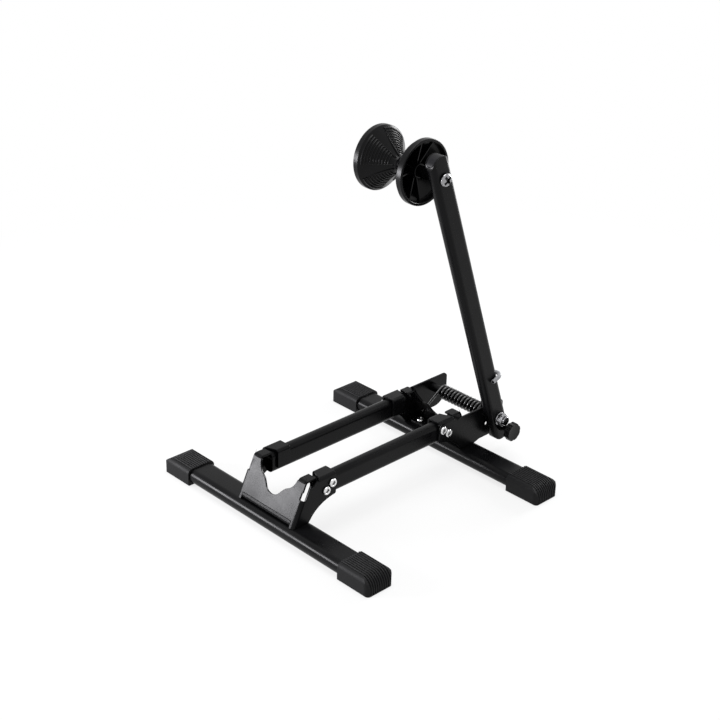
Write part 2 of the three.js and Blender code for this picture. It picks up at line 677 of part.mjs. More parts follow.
function pivotBolt() {
  const end = NUT_Y - NUT_FLANGE_H - NUT_H - NUT_COLLAR_H + 0.6;
  const head = CHEEK_OUT + GAP;
  return barY(0, 0, PIVOT_R, end, head + 1).add(hexY(NUT_AF, head, head + PIVOT_HEAD_H));
}

function pivotNut() {
  const flange = NUT_Y - NUT_FLANGE_H;
  const hex = flange - NUT_H;
  return barY(0, 0, NUT_FLANGE_R, flange, NUT_Y).add(hexY(NUT_AF, hex, flange + 0.2))
    .add(barY(0, 0, NUT_COLLAR_R, hex - NUT_COLLAR_H, hex + 0.2))
    .subtract(barY(0, 0, PIVOT_R + GAP, hex - 20, NUT_Y + 1));
}

function addPivot() {
  place(pivot, 'pivot_bolt', pivotBolt(), CHROME);
  place(pivot, 'pivot_nut', pivotNut(), CHROME);
  place(pivot, 'pivot_sleeve', ringY(0, 0, SLEEVE_R, PIVOT_R + GAP, -CHEEK_IN + GAP, CHEEK_IN - GAP), PAINT);
  place(pivot, 'pivot_spacer', ringY(0, 0, SPACER_R, PIVOT_R + GAP, ARM_IN + GAP, -CHEEK_OUT - GAP), CHROME);
}

// ---------------------------------------------------------------- torsion spring

// a point beside the arm, from the pivot: across (rearwards), y, and up along the arm
function besideArm(across, y, up) {
  const point = new THREE.Vector3(across, y, up);
  return point.applyAxisAngle(new THREE.Vector3(0, 1, 0), -ARM_LEAN);
}

// the hook's middle line: a tail on the arm's outer face, then a bend round the arm's rear edge
function hookLine() {
  const points = [];
  const outY = ARM_OUT - GAP - HOOK_SLEEVE_R;
  const back = TUBE_W / 2 + GAP + HOOK_SLEEVE_R;
  const r = HOOK_BEND_R;
  points.push(besideArm(HOOK_TAIL, outY, HOOK_RISE), besideArm((HOOK_TAIL + back - r) / 2, outY, HOOK_RISE));
  for (let i = 0; i <= 4; i++) {
    const a = (i / 4) * (Math.PI / 2);
    points.push(besideArm(back - r + r * Math.sin(a), outY + r - r * Math.cos(a), HOOK_RISE));
  }
  return points;
}

// the middle line of the wire, from the hook's end to the fixed leg's end
function springLine() {
  const points = hookLine();
  const back = TUBE_W / 2 + GAP + HOOK_SLEEVE_R;
  const r = HOOK_BEND_R;
  const inY = COIL_NEAR_Y;
  for (let i = 0; i <= 4; i++) {
    const a = (i / 4) * (Math.PI / 2);
    points.push(besideArm(back, inY - r + r * Math.sin(a), HOOK_RISE - r + r * Math.cos(a)));
  }
  // the leg comes down to the coil's front and runs into it on the tangent
  const top = points[points.length - 1];
  const far = Math.hypot(top.x, top.z);
  const sweep = Math.atan2(top.z, top.x) + Math.acos(COIL_R / far);
  const meet = new THREE.Vector3(COIL_R * Math.cos(sweep), inY, COIL_R * Math.sin(sweep));
  for (let i = 1; i < 5; i++) points.push(top.clone().lerp(meet, i / 5));
  const exit = Math.PI / 2 + LEG_ANGLE + 2 * Math.PI * COIL_TURNS;
  const steps = Math.round(((exit - sweep) / (2 * Math.PI)) * 8);
  for (let i = 0; i <= steps; i++) {
    const a = sweep + ((exit - sweep) * i) / steps;
    const y = inY + ((COIL_FAR_Y - inY) * i) / steps;
    points.push(new THREE.Vector3(COIL_R * Math.cos(a), y, COIL_R * Math.sin(a)));
  }
  for (let i = 1; i <= 4; i++) {
    const run = (LEG_LENGTH * i) / 4;
    points.push(new THREE.Vector3(LEG_START.x + run * LEG_WAY.x, COIL_FAR_Y, LEG_START.y + run * LEG_WAY.y));
  }
  return points;
}

// the soft sleeve over the hook, which keeps the wire off the arm's paint
function hookSleeve() {
  const line = hookLine();
  line.push(besideArm(TUBE_W / 2 + GAP + HOOK_SLEEVE_R, ARM_Y, HOOK_RISE));
  const last = line.length - 1;
  const beyond = (a, b) => line[a].clone().lerp(line[b], -0.5);
  const bore = [beyond(0, 1), ...line, beyond(last, last - 1)];
  return toSolid(wire(line, HOOK_SLEEVE_R, 8)).subtract(toSolid(wire(bore, HOOK_SLEEVE_BORE, 8)));
}

// a closed tube of five sides along a line of points, without twist
function wire(points, r, sides = 5) {
  const tangents = points.map((p, i) => {
    const a = points[Math.max(i - 1, 0)];
    const b = points[Math.min(i + 1, points.length - 1)];
    return b.clone().sub(a).normalize();
  });
  let normal = new THREE.Vector3(0, 0, 1).cross(tangents[0]).normalize();
  const position = [];
  points.forEach((p, i) => {
    normal = normal.clone().addScaledVector(tangents[i], -normal.dot(tangents[i])).normalize();
    const other = tangents[i].clone().cross(normal);
    for (let k = 0; k < sides; k++) {
      const a = (2 * Math.PI * k) / sides;
      const q = p.clone().addScaledVector(normal, r * Math.cos(a)).addScaledVector(other, r * Math.sin(a));
      position.push(q.x, q.y, q.z);
    }
  });
  const index = [];
  for (let i = 0; i < points.length - 1; i++) {
    for (let k = 0; k < sides; k++) {
      const a = i * sides + k;
      const b = i * sides + ((k + 1) % sides);
      index.push(a, b, b + sides, a, b + sides, a + sides);
    }
  }
  const last = (points.length - 1) * sides;
  for (let k = 1; k < sides - 1; k++) {
    index.push(0, k + 1, k);
    index.push(last, last + k, last + k + 1);
  }
  const geometry = new THREE.BufferGeometry();
  geometry.setAttribute('position', new THREE.Float32BufferAttribute(position, 3));
  geometry.setIndex(index);
  geometry.computeVertexNormals();
  return geometry;
}

// least distance between two stretches of the wire that are not neighbours, less its thickness
function selfGap(points, r) {
  let least = Infinity;
  for (let i = 0; i < points.length; i++) {
    for (let j = i + 5; j < points.length; j++) {
      const a = new THREE.Line3(points[i], points[Math.min(i + 1, points.length - 1)]);
      const near = a.closestPointToPoint(points[j], true, new THREE.Vector3());
      least = Math.min(least, near.distanceTo(points[j]) - 2 * r);
    }
  }
  return least;
}

function addSpring() {
  const line = springLine();
  console.log(`spring: least gap between turns ${selfGap(line, WIRE_R).toFixed(2)} mm`);
  place(pivot, 'torsion_spring', wire(line, WIRE_R), SPRING);
  place(pivot, 'hook_sleeve', hookSleeve(), SLEEVE);
}

// ---------------------------------------------------------------- arm
// Drawn with z = 0 at the pivot and +Z up the arm.

const ARM_LOW = -ARM_TOE;
const ARM_HIGH = ARM_REACH + ARM_HEAD;

// side view of the arm: a bar with two round ends
function armOutline() {
  const r = TUBE_W / 2;
  return [...arc(0, ARM_HIGH, r, 0, Math.PI, 12), ...arc(0, ARM_LOW, r, Math.PI, 2 * Math.PI, 12)];
}

function armTube() {
  const section = tubeSection(TUBE_W, TUBE_T, TUBE_R, TUBE_WALL);
  const z0 = ARM_LOW - TUBE_W;
  const z1 = ARM_HIGH + TUBE_W;
  const tube = toSolid(extrude(section, z1 - z0).translate(0, ARM_Y, z0));
  return tube.intersect(alongY(armOutline(), ARM_OUT - 1, ARM_IN + 1))
    .subtract(barY(0, 0, BUSH_R + GAP, ARM_OUT - 1, ARM_IN + 1))
    .subtract(barY(0, -LOCK_DROP, LOCK_BUSH_R + GAP, ARM_OUT - 1, ARM_IN + 1, 16))
    .subtract(barY(0, ARM_REACH, AXLE_R + GAP, ARM_OUT - 1, ARM_IN + 1));
}

// a moulded plug that fills the tube's round end between its flat walls
function armPlug(z0, z1) {
  const inset = 2 * (TUBE_WALL + GAP);
  const core = ovalPoints(TUBE_W - inset, TUBE_T - inset, TUBE_R - TUBE_WALL - GAP);
  return toSolid(extrude(core, z1 - z0).translate(0, ARM_Y, z0)).intersect(alongY(armOutline(), ARM_OUT, ARM_IN));
}

function addArm() {
  place(arm, 'arm_tube', armTube(), PAINT);
  place(arm, 'arm_top_plug', armPlug(ARM_REACH + AXLE_R + 4, ARM_HIGH + TUBE_W), PLUG);
  place(arm, 'arm_bottom_plug', armPlug(ARM_LOW - TUBE_W, -LOCK_DROP - LOCK_BUSH_R - 1), PLUG);
  place(arm, 'arm_pivot_bush', ringY(0, 0, BUSH_R, PIVOT_R + GAP, ARM_OUT, ARM_IN), CHROME);
}

// ---------------------------------------------------------------- pull pin

const BUSH_END = ARM_OUT - LOCK_BUSH_OUT;
const SPRING_SEAT = BUSH_END + LOCK_END_WALL;
const COLLAR_Y = ARM_IN - LOCK_COLLAR_IN; // collar's face towards the stand
const KNOB_Y = BUSH_END - GAP; // the knob's neck starts here

// the bush is open towards the stand and holds the pin's spring
function lockBush() {
  return barY(0, -LOCK_DROP, LOCK_BUSH_R, BUSH_END, ARM_IN, 16)
    .subtract(barY(0, -LOCK_DROP, LOCK_R + GAP, BUSH_END - 1, ARM_IN + 1, 16))
    .subtract(barY(0, -LOCK_DROP, LOCK_SPRING_R + LOCK_WIRE_R + GAP, SPRING_SEAT, ARM_IN + 1, 16));
}

function lockPin() {
  return barY(0, -LOCK_DROP, LOCK_R, KNOB_Y - KNOB_BORE + GAP, -CHEEK_OUT - GAP, 16)
    .add(barY(0, -LOCK_DROP, LOCK_COLLAR_R, COLLAR_Y - LOCK_COLLAR_H, COLLAR_Y, 16));
}

// the small spring that pushes the pin towards the index holes
function lockSpringLine() {
  const y0 = SPRING_SEAT + LOCK_WIRE_R + GAP;
  const y1 = COLLAR_Y - LOCK_COLLAR_H - LOCK_WIRE_R - GAP;
  const points = [];
  const steps = LOCK_SPRING_TURNS * 8;
  for (let i = 0; i <= steps; i++) {
    const a = (2 * Math.PI * i) / 8;
    const y = y0 + ((y1 - y0) * i) / steps;
    points.push(new THREE.Vector3(LOCK_SPRING_R * Math.cos(a), y, -LOCK_DROP + LOCK_SPRING_R * Math.sin(a)));
  }
  return points;
}

function lockKnob() {
  const lobed = [];
  const steps = KNOB_LOBES * 4;
  for (let i = 0; i < steps; i++) {
    const a = (2 * Math.PI * i) / steps;
    const r = KNOB_R - KNOB_LOBE * (0.5 - 0.5 * Math.cos(KNOB_LOBES * a));
    lobed.push(v2(r * Math.cos(a), -LOCK_DROP + r * Math.sin(a)));
  }
  const back = KNOB_Y - KNOB_NECK_H;
  const face = back - KNOB_H;
  const edge = 1.2;
  const crown = turned([[0, face], [KNOB_R - edge, face], [KNOB_R + 0.1, face + edge], [KNOB_R + 0.1, face + KNOB_RIM],
    [KNOB_NECK_R, back], [KNOB_NECK_R, KNOB_Y], [0, KNOB_Y]], 16).translate([0, 0, -LOCK_DROP]);
  const bore = barY(0, -LOCK_DROP, LOCK_R + GAP, KNOB_Y - KNOB_BORE, KNOB_Y + 1, 16);
  return alongY(lobed, face - 1, KNOB_Y + 1).intersect(crown).subtract(bore);
}

function addLock() {
  const line = lockSpringLine();
  console.log(`pin spring: least gap between turns ${selfGap(line, LOCK_WIRE_R).toFixed(2)} mm`);
  place(arm, 'lock_bush', lockBush(), PAINT);
  place(arm, 'lock_spring', wire(line, LOCK_WIRE_R), CHROME);
  place(arm, 'lock_pin', lockPin(), CHROME);
  place(arm, 'lock_knob', lockKnob(), PLASTIC);
}

// ---------------------------------------------------------------- roller
// Each half is drawn with its waist at y = 0 and its rim at +Y.

const CONE_FOOT = v2(WAIST_R + 0.8, 3.5); // (radius, y) where the cone leaves the waist
const CONE_TOP = v2(ROLLER_R - 1.3, ROLLER_HALF - RIM_T - 0.6);

// radius and y on the cone's outer face, t from waist to rim, h above the face
function onCone(t, h) {
  const way = CONE_TOP.clone().sub(CONE_FOOT);
  const out = v2(way.y, -way.x).normalize();
  const hollow = CONE_HOLLOW * (1 - Math.abs(2 * t - 1));
  return v2(CONE_FOOT.x + way.x * t + out.x * (h - hollow), CONE_FOOT.y + way.y * t + out.y * (h - hollow));
}

function rollerShell() {
  const flank = [0, 0.5, 1].map((t) => onCone(t, 0)).map((p) => [p.x, p.y]);
  const rim = ROLLER_HALF - RIM_T;
  const wallFoot = onCone(0.06, -CONE_WALL);
  const wallMid = onCone(0.5, -CONE_WALL);
  const wallTop = onCone(0.9, -CONE_WALL);
  const bore = AXLE_R + GAP;
  return turned([
    [bore, GAP / 2], [WAIST_R, GAP / 2], ...flank, [ROLLER_R, rim], [ROLLER_R, ROLLER_HALF - 1],
    [ROLLER_R - 1, ROLLER_HALF], [ROLLER_R - RIM_WALL, ROLLER_HALF], [ROLLER_R - RIM_WALL, wallTop.y],
    [wallMid.x, wallMid.y], [HUB_R, wallFoot.y + 4], [HUB_R, HUB_TOP], [bore, HUB_TOP], [bore, GAP / 2],
  ], ROLLER_SEGMENTS);
}

// a moulded web inside the dish, in the (radius, y) plane, turned to its place
function web(angle) {
  const a = onCone(0.12, -CONE_WALL / 2);
  const b = onCone(0.5, -CONE_WALL / 2);
  const c = onCone(0.95, -CONE_WALL / 2);
  const edge = ROLLER_R - RIM_WALL / 2;
  const outline = [v2(HUB_R - 1, a.y + 4), v2(a.x + 2, a.y + 2), v2(b.x, b.y), v2(c.x, c.y), v2(edge, c.y),
    v2(edge, ROLLER_HALF - WEB_DEPTH), v2(HUB_R - 1, HUB_TOP - WEB_DEPTH)];
  return toSolid(extrude(outline, WEB_T).translate(0, 0, -WEB_T / 2).rotateY(angle));
}

// a raised radial line on the flank between two sectors
function spoke(angle) {
  const ts = [0.02, 0.5, 0.98];
  const outline = [...ts.map((t) => onCone(t, SPOKE_H)), ...ts.reverse().map((t) => onCone(t, -1))];
  return toSolid(extrude(outline, SPOKE_W).translate(0, 0, -SPOKE_W / 2).rotateY(angle));
}

// stepped rings over one sector of the flank
function flutes(angle) {
  const [low, high] = FLUTED;
  const profile = [onCone(low, -0.6)];
  for (let k = 0; k < FLUTES; k++) {
    const t = low + ((high - low) * k) / FLUTES;
    profile.push(onCone(t, FLUTE_FOOT), onCone(t, FLUTE_FOOT + FLUTE_H));
  }
  profile.push(onCone(high, FLUTE_FOOT), onCone(high, -0.6), onCone((low + high) / 2, -1.6));
  return sweepSector(profile, angle, SECTOR, Math.round((ROLLER_SEGMENTS * SECTOR) / (2 * Math.PI)));
}

// a closed profile of (radius, y) turned through part of a circle, with flat ends
function sweepSector(profile, start, angle, steps) {
  const n = profile.length;
  const position = [];
  for (let j = 0; j <= steps; j++) {
    const a = start + (angle * j) / steps;
    for (const p of profile) position.push(p.x * Math.cos(a), p.y, -p.x * Math.sin(a));
  }
  const index = [];
  const tris = THREE.ShapeUtils.triangulateShape(profile, []);
  const flip = THREE.ShapeUtils.isClockWise(profile);
  const face = (a, b, c) => (flip ? index.push(a, c, b) : index.push(a, b, c));
  for (let j = 0; j < steps; j++) {
    for (let k = 0; k < n; k++) {
      const a = j * n + k;
      const b = j * n + ((k + 1) % n);
      face(a, a + n, b + n);
      face(a, b + n, b);
    }
  }
  for (const [a, b, c] of tris) {
    index.push(a, b, c);
    index.push(steps * n + a, steps * n + c, steps * n + b);
  }
  const geometry = new THREE.BufferGeometry();
  geometry.setAttribute('position', new THREE.Float32BufferAttribute(position, 3));
  geometry.setIndex(index);
  return toSolid(geometry);
}

function rollerHalf() {
  let half = rollerShell();
  for (let i = 0; i < QUARTERS; i++) {
    const start = (2 * Math.PI * i) / QUARTERS;
    half = half.add(flutes(start));
    for (const angle of [start, start + SECTOR]) half = half.add(web(angle)).add(spoke(angle));
  }
  return half.subtract(barY(0, 0, AXLE_R + GAP, -1, ROLLER_HALF + 1, ROLLER_SEGMENTS));
}

function axleBolt() {
  const length = -ARM_OUT + GAP + HUB_TOP + GAP + AXLE_NUT_H + 1;
  return buttonBolt(AXLE_HEAD_R, AXLE_HEAD_H, AXLE_R, length, 3.4, 16);
}

function addRoller() {
  const half = toGeometry(rollerHalf());
  place(roller, 'roller_far', half, PLASTIC);
  place(roller, 'roller_near', half, PLASTIC, (mesh) => { mesh.rotation.z = Math.PI; });
  place(axle, 'roller_axle', axleBolt(), CHROME, (mesh) => {
    mesh.rotation.z = Math.PI;
    mesh.position.y = ARM_OUT - GAP;
  });
  place(axle, 'roller_spacer', ringY(0, 0, AXLE_SPACER_R, AXLE_R + GAP, ARM_IN + GAP, -HUB_TOP - GAP), PLASTIC);
  const nut = hexY(AXLE_NUT_AF, HUB_TOP + GAP, HUB_TOP + GAP + AXLE_NUT_H)
    .subtract(barY(0, 0, AXLE_R + GAP, HUB_TOP - 1, HUB_TOP + 20));
  place(axle, 'roller_nut', nut, CHROME);
}

// ---------------------------------------------------------------- assembly

addFoot(front, 'front');
addFoot(rear, 'rear');
addRails();
place(front, 'front_bracket', frontBracket(), PAINT);
place(rear, 'rear_bracket', rearBracket(), PAINT);
addBracketBolts(front, 'front');
addBracketBolts(rear, 'rear');
addPivot();
addSpring();
addArm();
addLock();
addRoller();

export default stand;
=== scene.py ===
"""Looks of a folding floor stand for a bicycle wheel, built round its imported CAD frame.

Shapes are written in millimetres and become metres in dress(). +X runs from the front foot to the
rear foot, the arm stands on the -Y side, and the floor is z = 0.
"""
import json
from math import acos, atan2, copysign, cos, hypot, pi, radians, sin, sqrt, tan

import bmesh
import bpy
from mathutils import Matrix, Vector


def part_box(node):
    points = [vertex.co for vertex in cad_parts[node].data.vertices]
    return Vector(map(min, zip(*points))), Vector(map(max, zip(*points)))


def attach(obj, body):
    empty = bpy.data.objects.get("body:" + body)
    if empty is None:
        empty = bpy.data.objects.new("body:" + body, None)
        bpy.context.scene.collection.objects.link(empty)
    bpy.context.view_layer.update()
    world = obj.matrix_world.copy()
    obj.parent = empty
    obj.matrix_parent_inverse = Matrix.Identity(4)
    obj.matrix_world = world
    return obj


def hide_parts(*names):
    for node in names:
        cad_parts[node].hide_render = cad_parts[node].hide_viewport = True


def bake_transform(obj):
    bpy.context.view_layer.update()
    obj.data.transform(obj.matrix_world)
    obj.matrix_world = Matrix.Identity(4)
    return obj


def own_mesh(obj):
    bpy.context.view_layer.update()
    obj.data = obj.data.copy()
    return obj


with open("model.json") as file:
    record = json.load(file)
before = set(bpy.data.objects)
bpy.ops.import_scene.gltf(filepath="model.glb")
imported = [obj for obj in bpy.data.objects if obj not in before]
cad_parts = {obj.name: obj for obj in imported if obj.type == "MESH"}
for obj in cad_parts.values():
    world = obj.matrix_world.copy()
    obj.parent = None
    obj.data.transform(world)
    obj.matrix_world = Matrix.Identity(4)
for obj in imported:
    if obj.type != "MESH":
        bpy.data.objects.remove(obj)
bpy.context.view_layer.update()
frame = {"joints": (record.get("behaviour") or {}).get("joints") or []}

# ---------------------------- sizes, in mm

MM = 0.001
GAP = 0.3  # clearance between pieces that touch
SHARP = 0.01  # a radius that leaves a corner sharp

# cross feet and their caps
FOOT_W, FOOT_H, FOOT_R, FOOT_WALL = 40, 20, 9, 1.5
CAP_LENGTH = 54
CAP_WALL, CAP_SOLE, CAP_TOP, CAP_END = 1.9, 2.2, 2.2, 15
CAP_EDGE_R, CAP_CORNER_R, CAP_END_R = 18, 8, 8
CAP_SOLE_R, CAP_TOE_R = 2, 1.5
CAP_GROOVES, CAP_GROOVE_PITCH = 10, 3.6
GROOVE_SIDE = [(0.36, -0.1), (0.29, 0.12), (0.22, 0.55), (0.17, 1.3)]  # (share of the pitch, depth)
CAP_GROOVE_FORM = [(-share, depth) for share, depth in GROOVE_SIDE] + GROOVE_SIDE[::-1]

# rails and arm are cut from one flat-oval tube
TUBE_W, TUBE_T, TUBE_R, TUBE_WALL = 30, 16, 7, 1.5
RAIL_Y, RAIL_Z, RAIL_SETBACK = 44, 62, 32

# pressed brackets
SHEET, BEND_R, TIGHT_R = 3, 2.5, 1.2
PLATE_FOOT, PLATE_LEAN, PLATE_HEIGHT = 13.5, radians(25.2), 60.5
SLIT_START, SLIT_IN = 39, 6.8
CHEEK_REACH, CHEEK_DROP, CHEEK_TOE = 60, 13.5, 13
CLAMP_START, CLAMP_SKEW, CLAMP_DROP = 31, 8, 8
CLAMP_LAP = 3  # stock in front of the clamp's start, which the skew cut takes off
NOTCH_FLOOR, NOTCH_TOP = 27.5, 35.5
NOTCH_SIDE = [(0, 0), (0.17, 0.03), (0.31, 0.13), (0.44, 0.3), (0.57, 0.45), (0.76, 0.57), (0.88, 0.71),
              (0.96, 0.88), (1, 1.12)]  # as shares of the notch's half width and rise
EAR_W, EAR_REACH, EAR_ROOT, EAR_IN = 14, 30, 12, 0.5
BASE_DEPTH, BASE_HALF_W, BASE_BOLT_Y = 9, 47, 36
BASE_ROOT, BASE_RELIEF = 14, 9  # up the plate, and above the foot
PLATE_TAIL, PLATE_TOP, PLATE_TOP_START = 30, 73.5, 5
TAIL_CORNER_R, TAIL_ROUND_R, TAIL_LIFT = 6, 25, 3
SIDE_BOLTS = [(42.5, -2.5), (53, 5)]  # from the foot's and the rail's centre

# bolts; shares are of the head's radius and height, and the cross's of its own reach
BOLT_R, BOLT_HEAD_R, BOLT_HEAD_H, BOLT_LENGTH, BOLT_SOCKET_R = 3, 5.8, 3.2, 12, 2.8
BOLT_FLAT, HEAD_RIM, SOCKET_FLOOR = 0.72, 0.25, 0.35
BOLT_TURNS = 17, 23, 31  # degrees: the first bolt's, from bolt to bolt, from side to side
AXLE_R, AXLE_HEAD_R, AXLE_HEAD_H, AXLE_FLAT, AXLE_TURN = 5, 8.7, 5.2, 0.3, 20
CROSS_R, CROSS_FOOT, CROSS_FLOOR, CROSS_BLADE = 7.2, 0.68, 0.12, 0.25
AXLE_NUT_AF, AXLE_NUT_H, AXLE_SPACER_R = 15, 5.4, 7.5

# arm and pivot
ARM_TOE, ARM_HEAD, ARM_STANDOFF = 21.6, 17, 4.4
PIVOT_R, SLEEVE_R, SPACER_R, BUSH_R = 5, 6.5, 9.5, 7
NUT_AF, NUT_H, NUT_FLANGE_R, NUT_FLANGE_H, NUT_COLLAR_R, NUT_COLLAR_H = 16, 8, 9.3, 1.8, 6.8, 2.4
PIVOT_HEAD_H, THREAD_IN = 6, 0.6

# pull pin
LOCK_R, LOCK_BUSH_R, LOCK_BUSH_OUT, LOCK_END_WALL = 3, 5.6, 4, 4
LOCK_COLLAR_R, LOCK_COLLAR_H, LOCK_COLLAR_IN = 4.1, 1.2, 0.8
LOCK_SPRING_R, LOCK_WIRE_R, LOCK_SPRING_TURNS, LOCK_SPRING_STEPS = 3.75, 0.4, 5, 28
LOCK_ANGLES = [0, -28.7, 71]
KNOB_R, KNOB_H, KNOB_RIM, KNOB_RIM_R, KNOB_LOBES, KNOB_LOBE = 13.2, 11.5, 8.5, 1.6, 8, 1.6
KNOB_NECK_R, KNOB_NECK_H, KNOB_BORE = 4.6, 8.5, 8

# torsion spring
WIRE_R, COIL_R, COIL_TURNS, COIL_LENGTH, COIL_FAR_Y = 2, 9, 13, 80, 31
COIL_STEPS, BEND_STEPS, LEG_STEPS = 40, 12, 8
LEG_ANGLE, LEG_LENGTH, LEG_HOLE_R = radians(33.5), 45, 2.9
HOOK_RISE, HOOK_BEND_R, HOOK_TAIL = 69.5, 7, 0.5
HOOK_SLEEVE_R, HOOK_SLEEVE_BORE = 2.9, 2.3

# roller
ROLLER_R, ROLLER_HALF, RIM_T, RIM_WALL, RIM_ROUND_R = 42.5, 42.2, 8.4, 3.6, 1.2
WAIST_R, CONE_WALL, CONE_HOLLOW = 9.2, 3, 1.1
CONE_IN, CONE_OUT = (0.8, 3.5), (1.3, 0.6)  # (radius, y) from the waist and from the rim to the cone
HUB_R, HUB_TOP = 9.5, 34
SECTORS, SECTOR = 4, pi / 3  # stepped parts of the cone, and the angle of each
WEB_T, WEB_DEPTH = 1.4, 6
STEPS, STEP_FOOT, STEP_H, STEPPED = 10, 0.1, 1.15, (0.12, 0.985)
STEP_FORM = [(0, 0), (0.05, 0.7), (0.14, 0.96), (0.26, 1), (0.4, 0.85), (0.54, 0.52), (0.68, 0.12),
             (0.76, 0)]  # (share of the step, share of its height)
SPOKE_W, SPOKE_H, SPOKE_SHARE = 2.4, 1.7, 0.84

# widths of the small rounds on edges
CAP_SOFT, RAIL_SOFT, SHEET_SOFT, ARM_SOFT, PLUG_SOFT = 0.16, 0.25, 0.45, 0.3, 0.6
BOLT_SOFT, NUT_SOFT, DISH_SOFT, SPOKE_SOFT = 0.12, 0.15, 0.2, 0.9

# ---------------------------- places, from the frame

JOINTS = {joint["name"]: Vector(joint["pos_m"]) / MM for joint in frame["joints"]}
PIVOT_AT = JOINTS["arm_fold"]
AXLE_AT = JOINTS["roller_spin"]
LOCK_AT = JOINTS["lock_pin_pull"]


def middle_x(node):
    low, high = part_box(node)
    return (low.x + high.x) / 2 / MM


X_FRONT = middle_x("front_foot_tube")
X_REAR = middle_x("rear_foot_tube")
FOOT_SPACING = X_REAR - X_FRONT
FOOT_LENGTH = 2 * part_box("front_far_cap")[1].y / MM
PIVOT_X = PIVOT_AT.x - X_REAR
PIVOT_Z = PIVOT_AT.z
ARM_LEAN = atan2(PIVOT_AT.x - AXLE_AT.x, AXLE_AT.z - PIVOT_AT.z)
ARM_REACH = hypot(PIVOT_AT.x - AXLE_AT.x, AXLE_AT.z - PIVOT_AT.z)
LOCK_DROP = hypot(PIVOT_AT.x - LOCK_AT.x, LOCK_AT.z - PIVOT_AT.z)

FOOT_Z = CAP_SOLE + GAP + FOOT_H / 2
FOOT_TOP = FOOT_Z + FOOT_H / 2
BASE_Z = FOOT_TOP + GAP
CAP_W = FOOT_W + 2 * (GAP + CAP_WALL)
CAP_H = CAP_SOLE + CAP_TOP + FOOT_H + 2 * GAP
CHEEK_IN = RAIL_Y + TUBE_T / 2 + GAP
CHEEK_OUT = CHEEK_IN + SHEET
CHEEK_MID = CHEEK_IN + SHEET / 2
CLAMP_Z = RAIL_Z + TUBE_W / 2 + GAP + SHEET / 2
CLAMP_IN = RAIL_Y - TUBE_T / 2 - GAP - SHEET / 2
CHEEK_RIM = CLAMP_Z - TIGHT_R - SHEET / 2
PLATE_EDGE = CHEEK_OUT - SLIT_IN
ARM_IN = -(CHEEK_OUT + ARM_STANDOFF)
ARM_OUT = ARM_IN - TUBE_T
ARM_Y = (ARM_IN + ARM_OUT) / 2
NUT_Y = ARM_OUT - GAP
COIL_NEAR_Y = COIL_FAR_Y - COIL_LENGTH

FRONT = Matrix.Translation((X_FRONT, 0, 0))
REAR = Matrix.Translation((X_REAR, 0, 0)) @ Matrix.Rotation(pi, 4, "Z")
PIVOT = Matrix.Translation(PIVOT_AT)
ARM = PIVOT @ Matrix.Rotation(-ARM_LEAN, 4, "Y")
AXLE = ARM @ Matrix.Translation((0, 0, ARM_REACH))
ROLLER = AXLE @ Matrix.Rotation(ARM_LEAN, 4, "Y")
HALF_TURN = Matrix.Rotation(pi, 4, "Z")
ENDS = (("front", FRONT, 1), ("rear", REAR, -1))  # a foot's name, place, and far side in that place


def far_and_near(far=1):
    """The name, sign and turn of the far and the near side."""
    return [(name, side, Matrix.Identity(4) if side > 0 else HALF_TURN)
            for name, side in (("far", far), ("near", -far))]


# ---------------------------- camera

CAMERA_AT = Vector((-1220.14, -1218.61, 1030.64)) * MM
CAMERA_AZIMUTH, CAMERA_ELEVATION, CAMERA_ROLL = -134.3732, 26.3233, 1.4367  # degrees
CAMERA_LENS, CAMERA_SENSOR = 73.41, 36


def add_object(name, data):
    made = bpy.data.objects.new(name, data)
    bpy.context.scene.collection.objects.link(made)
    return made


def add_camera():
    """The photograph's view."""
    data = bpy.data.cameras.new("camera")
    data.lens, data.sensor_width = CAMERA_LENS, CAMERA_SENSOR
    data.clip_start, data.clip_end = 0.05, 50
    camera = add_object("camera", data)
    place = Matrix.Translation(CAMERA_AT)
    for axis, angle in (("Z", 90 + CAMERA_AZIMUTH), ("X", 90 - CAMERA_ELEVATION), ("Z", CAMERA_ROLL)):
        place = place @ Matrix.Rotation(radians(angle), 4, axis)
    camera.matrix_world = place
    bpy.context.scene.camera = camera


# ---------------------------- materials

COAT_ROUGHNESS = 0.12
CLOUD_DETAIL, GRAIN_DETAIL = 5, 3
CLOUD_RANGE = 0.3, 0.7  # the part of the noise that the clouds use
GRAIN_DEPTH = 0.2 * MM
PAINTED_SHADE_RANGE, PAINTED_SHADE_DARKEST = (0.45, 0.92), 0.04  # painted shade in crevices: openness from darkest to plain, and its darkest factor


def add_node(tree, kind, **inputs):
    """A new shader node. Each input's name has _ for its spaces."""
    made = tree.nodes.new("ShaderNode" + kind)
    for name, value in inputs.items():
        made.inputs[name.replace("_", " ")].default_value = value
    return made


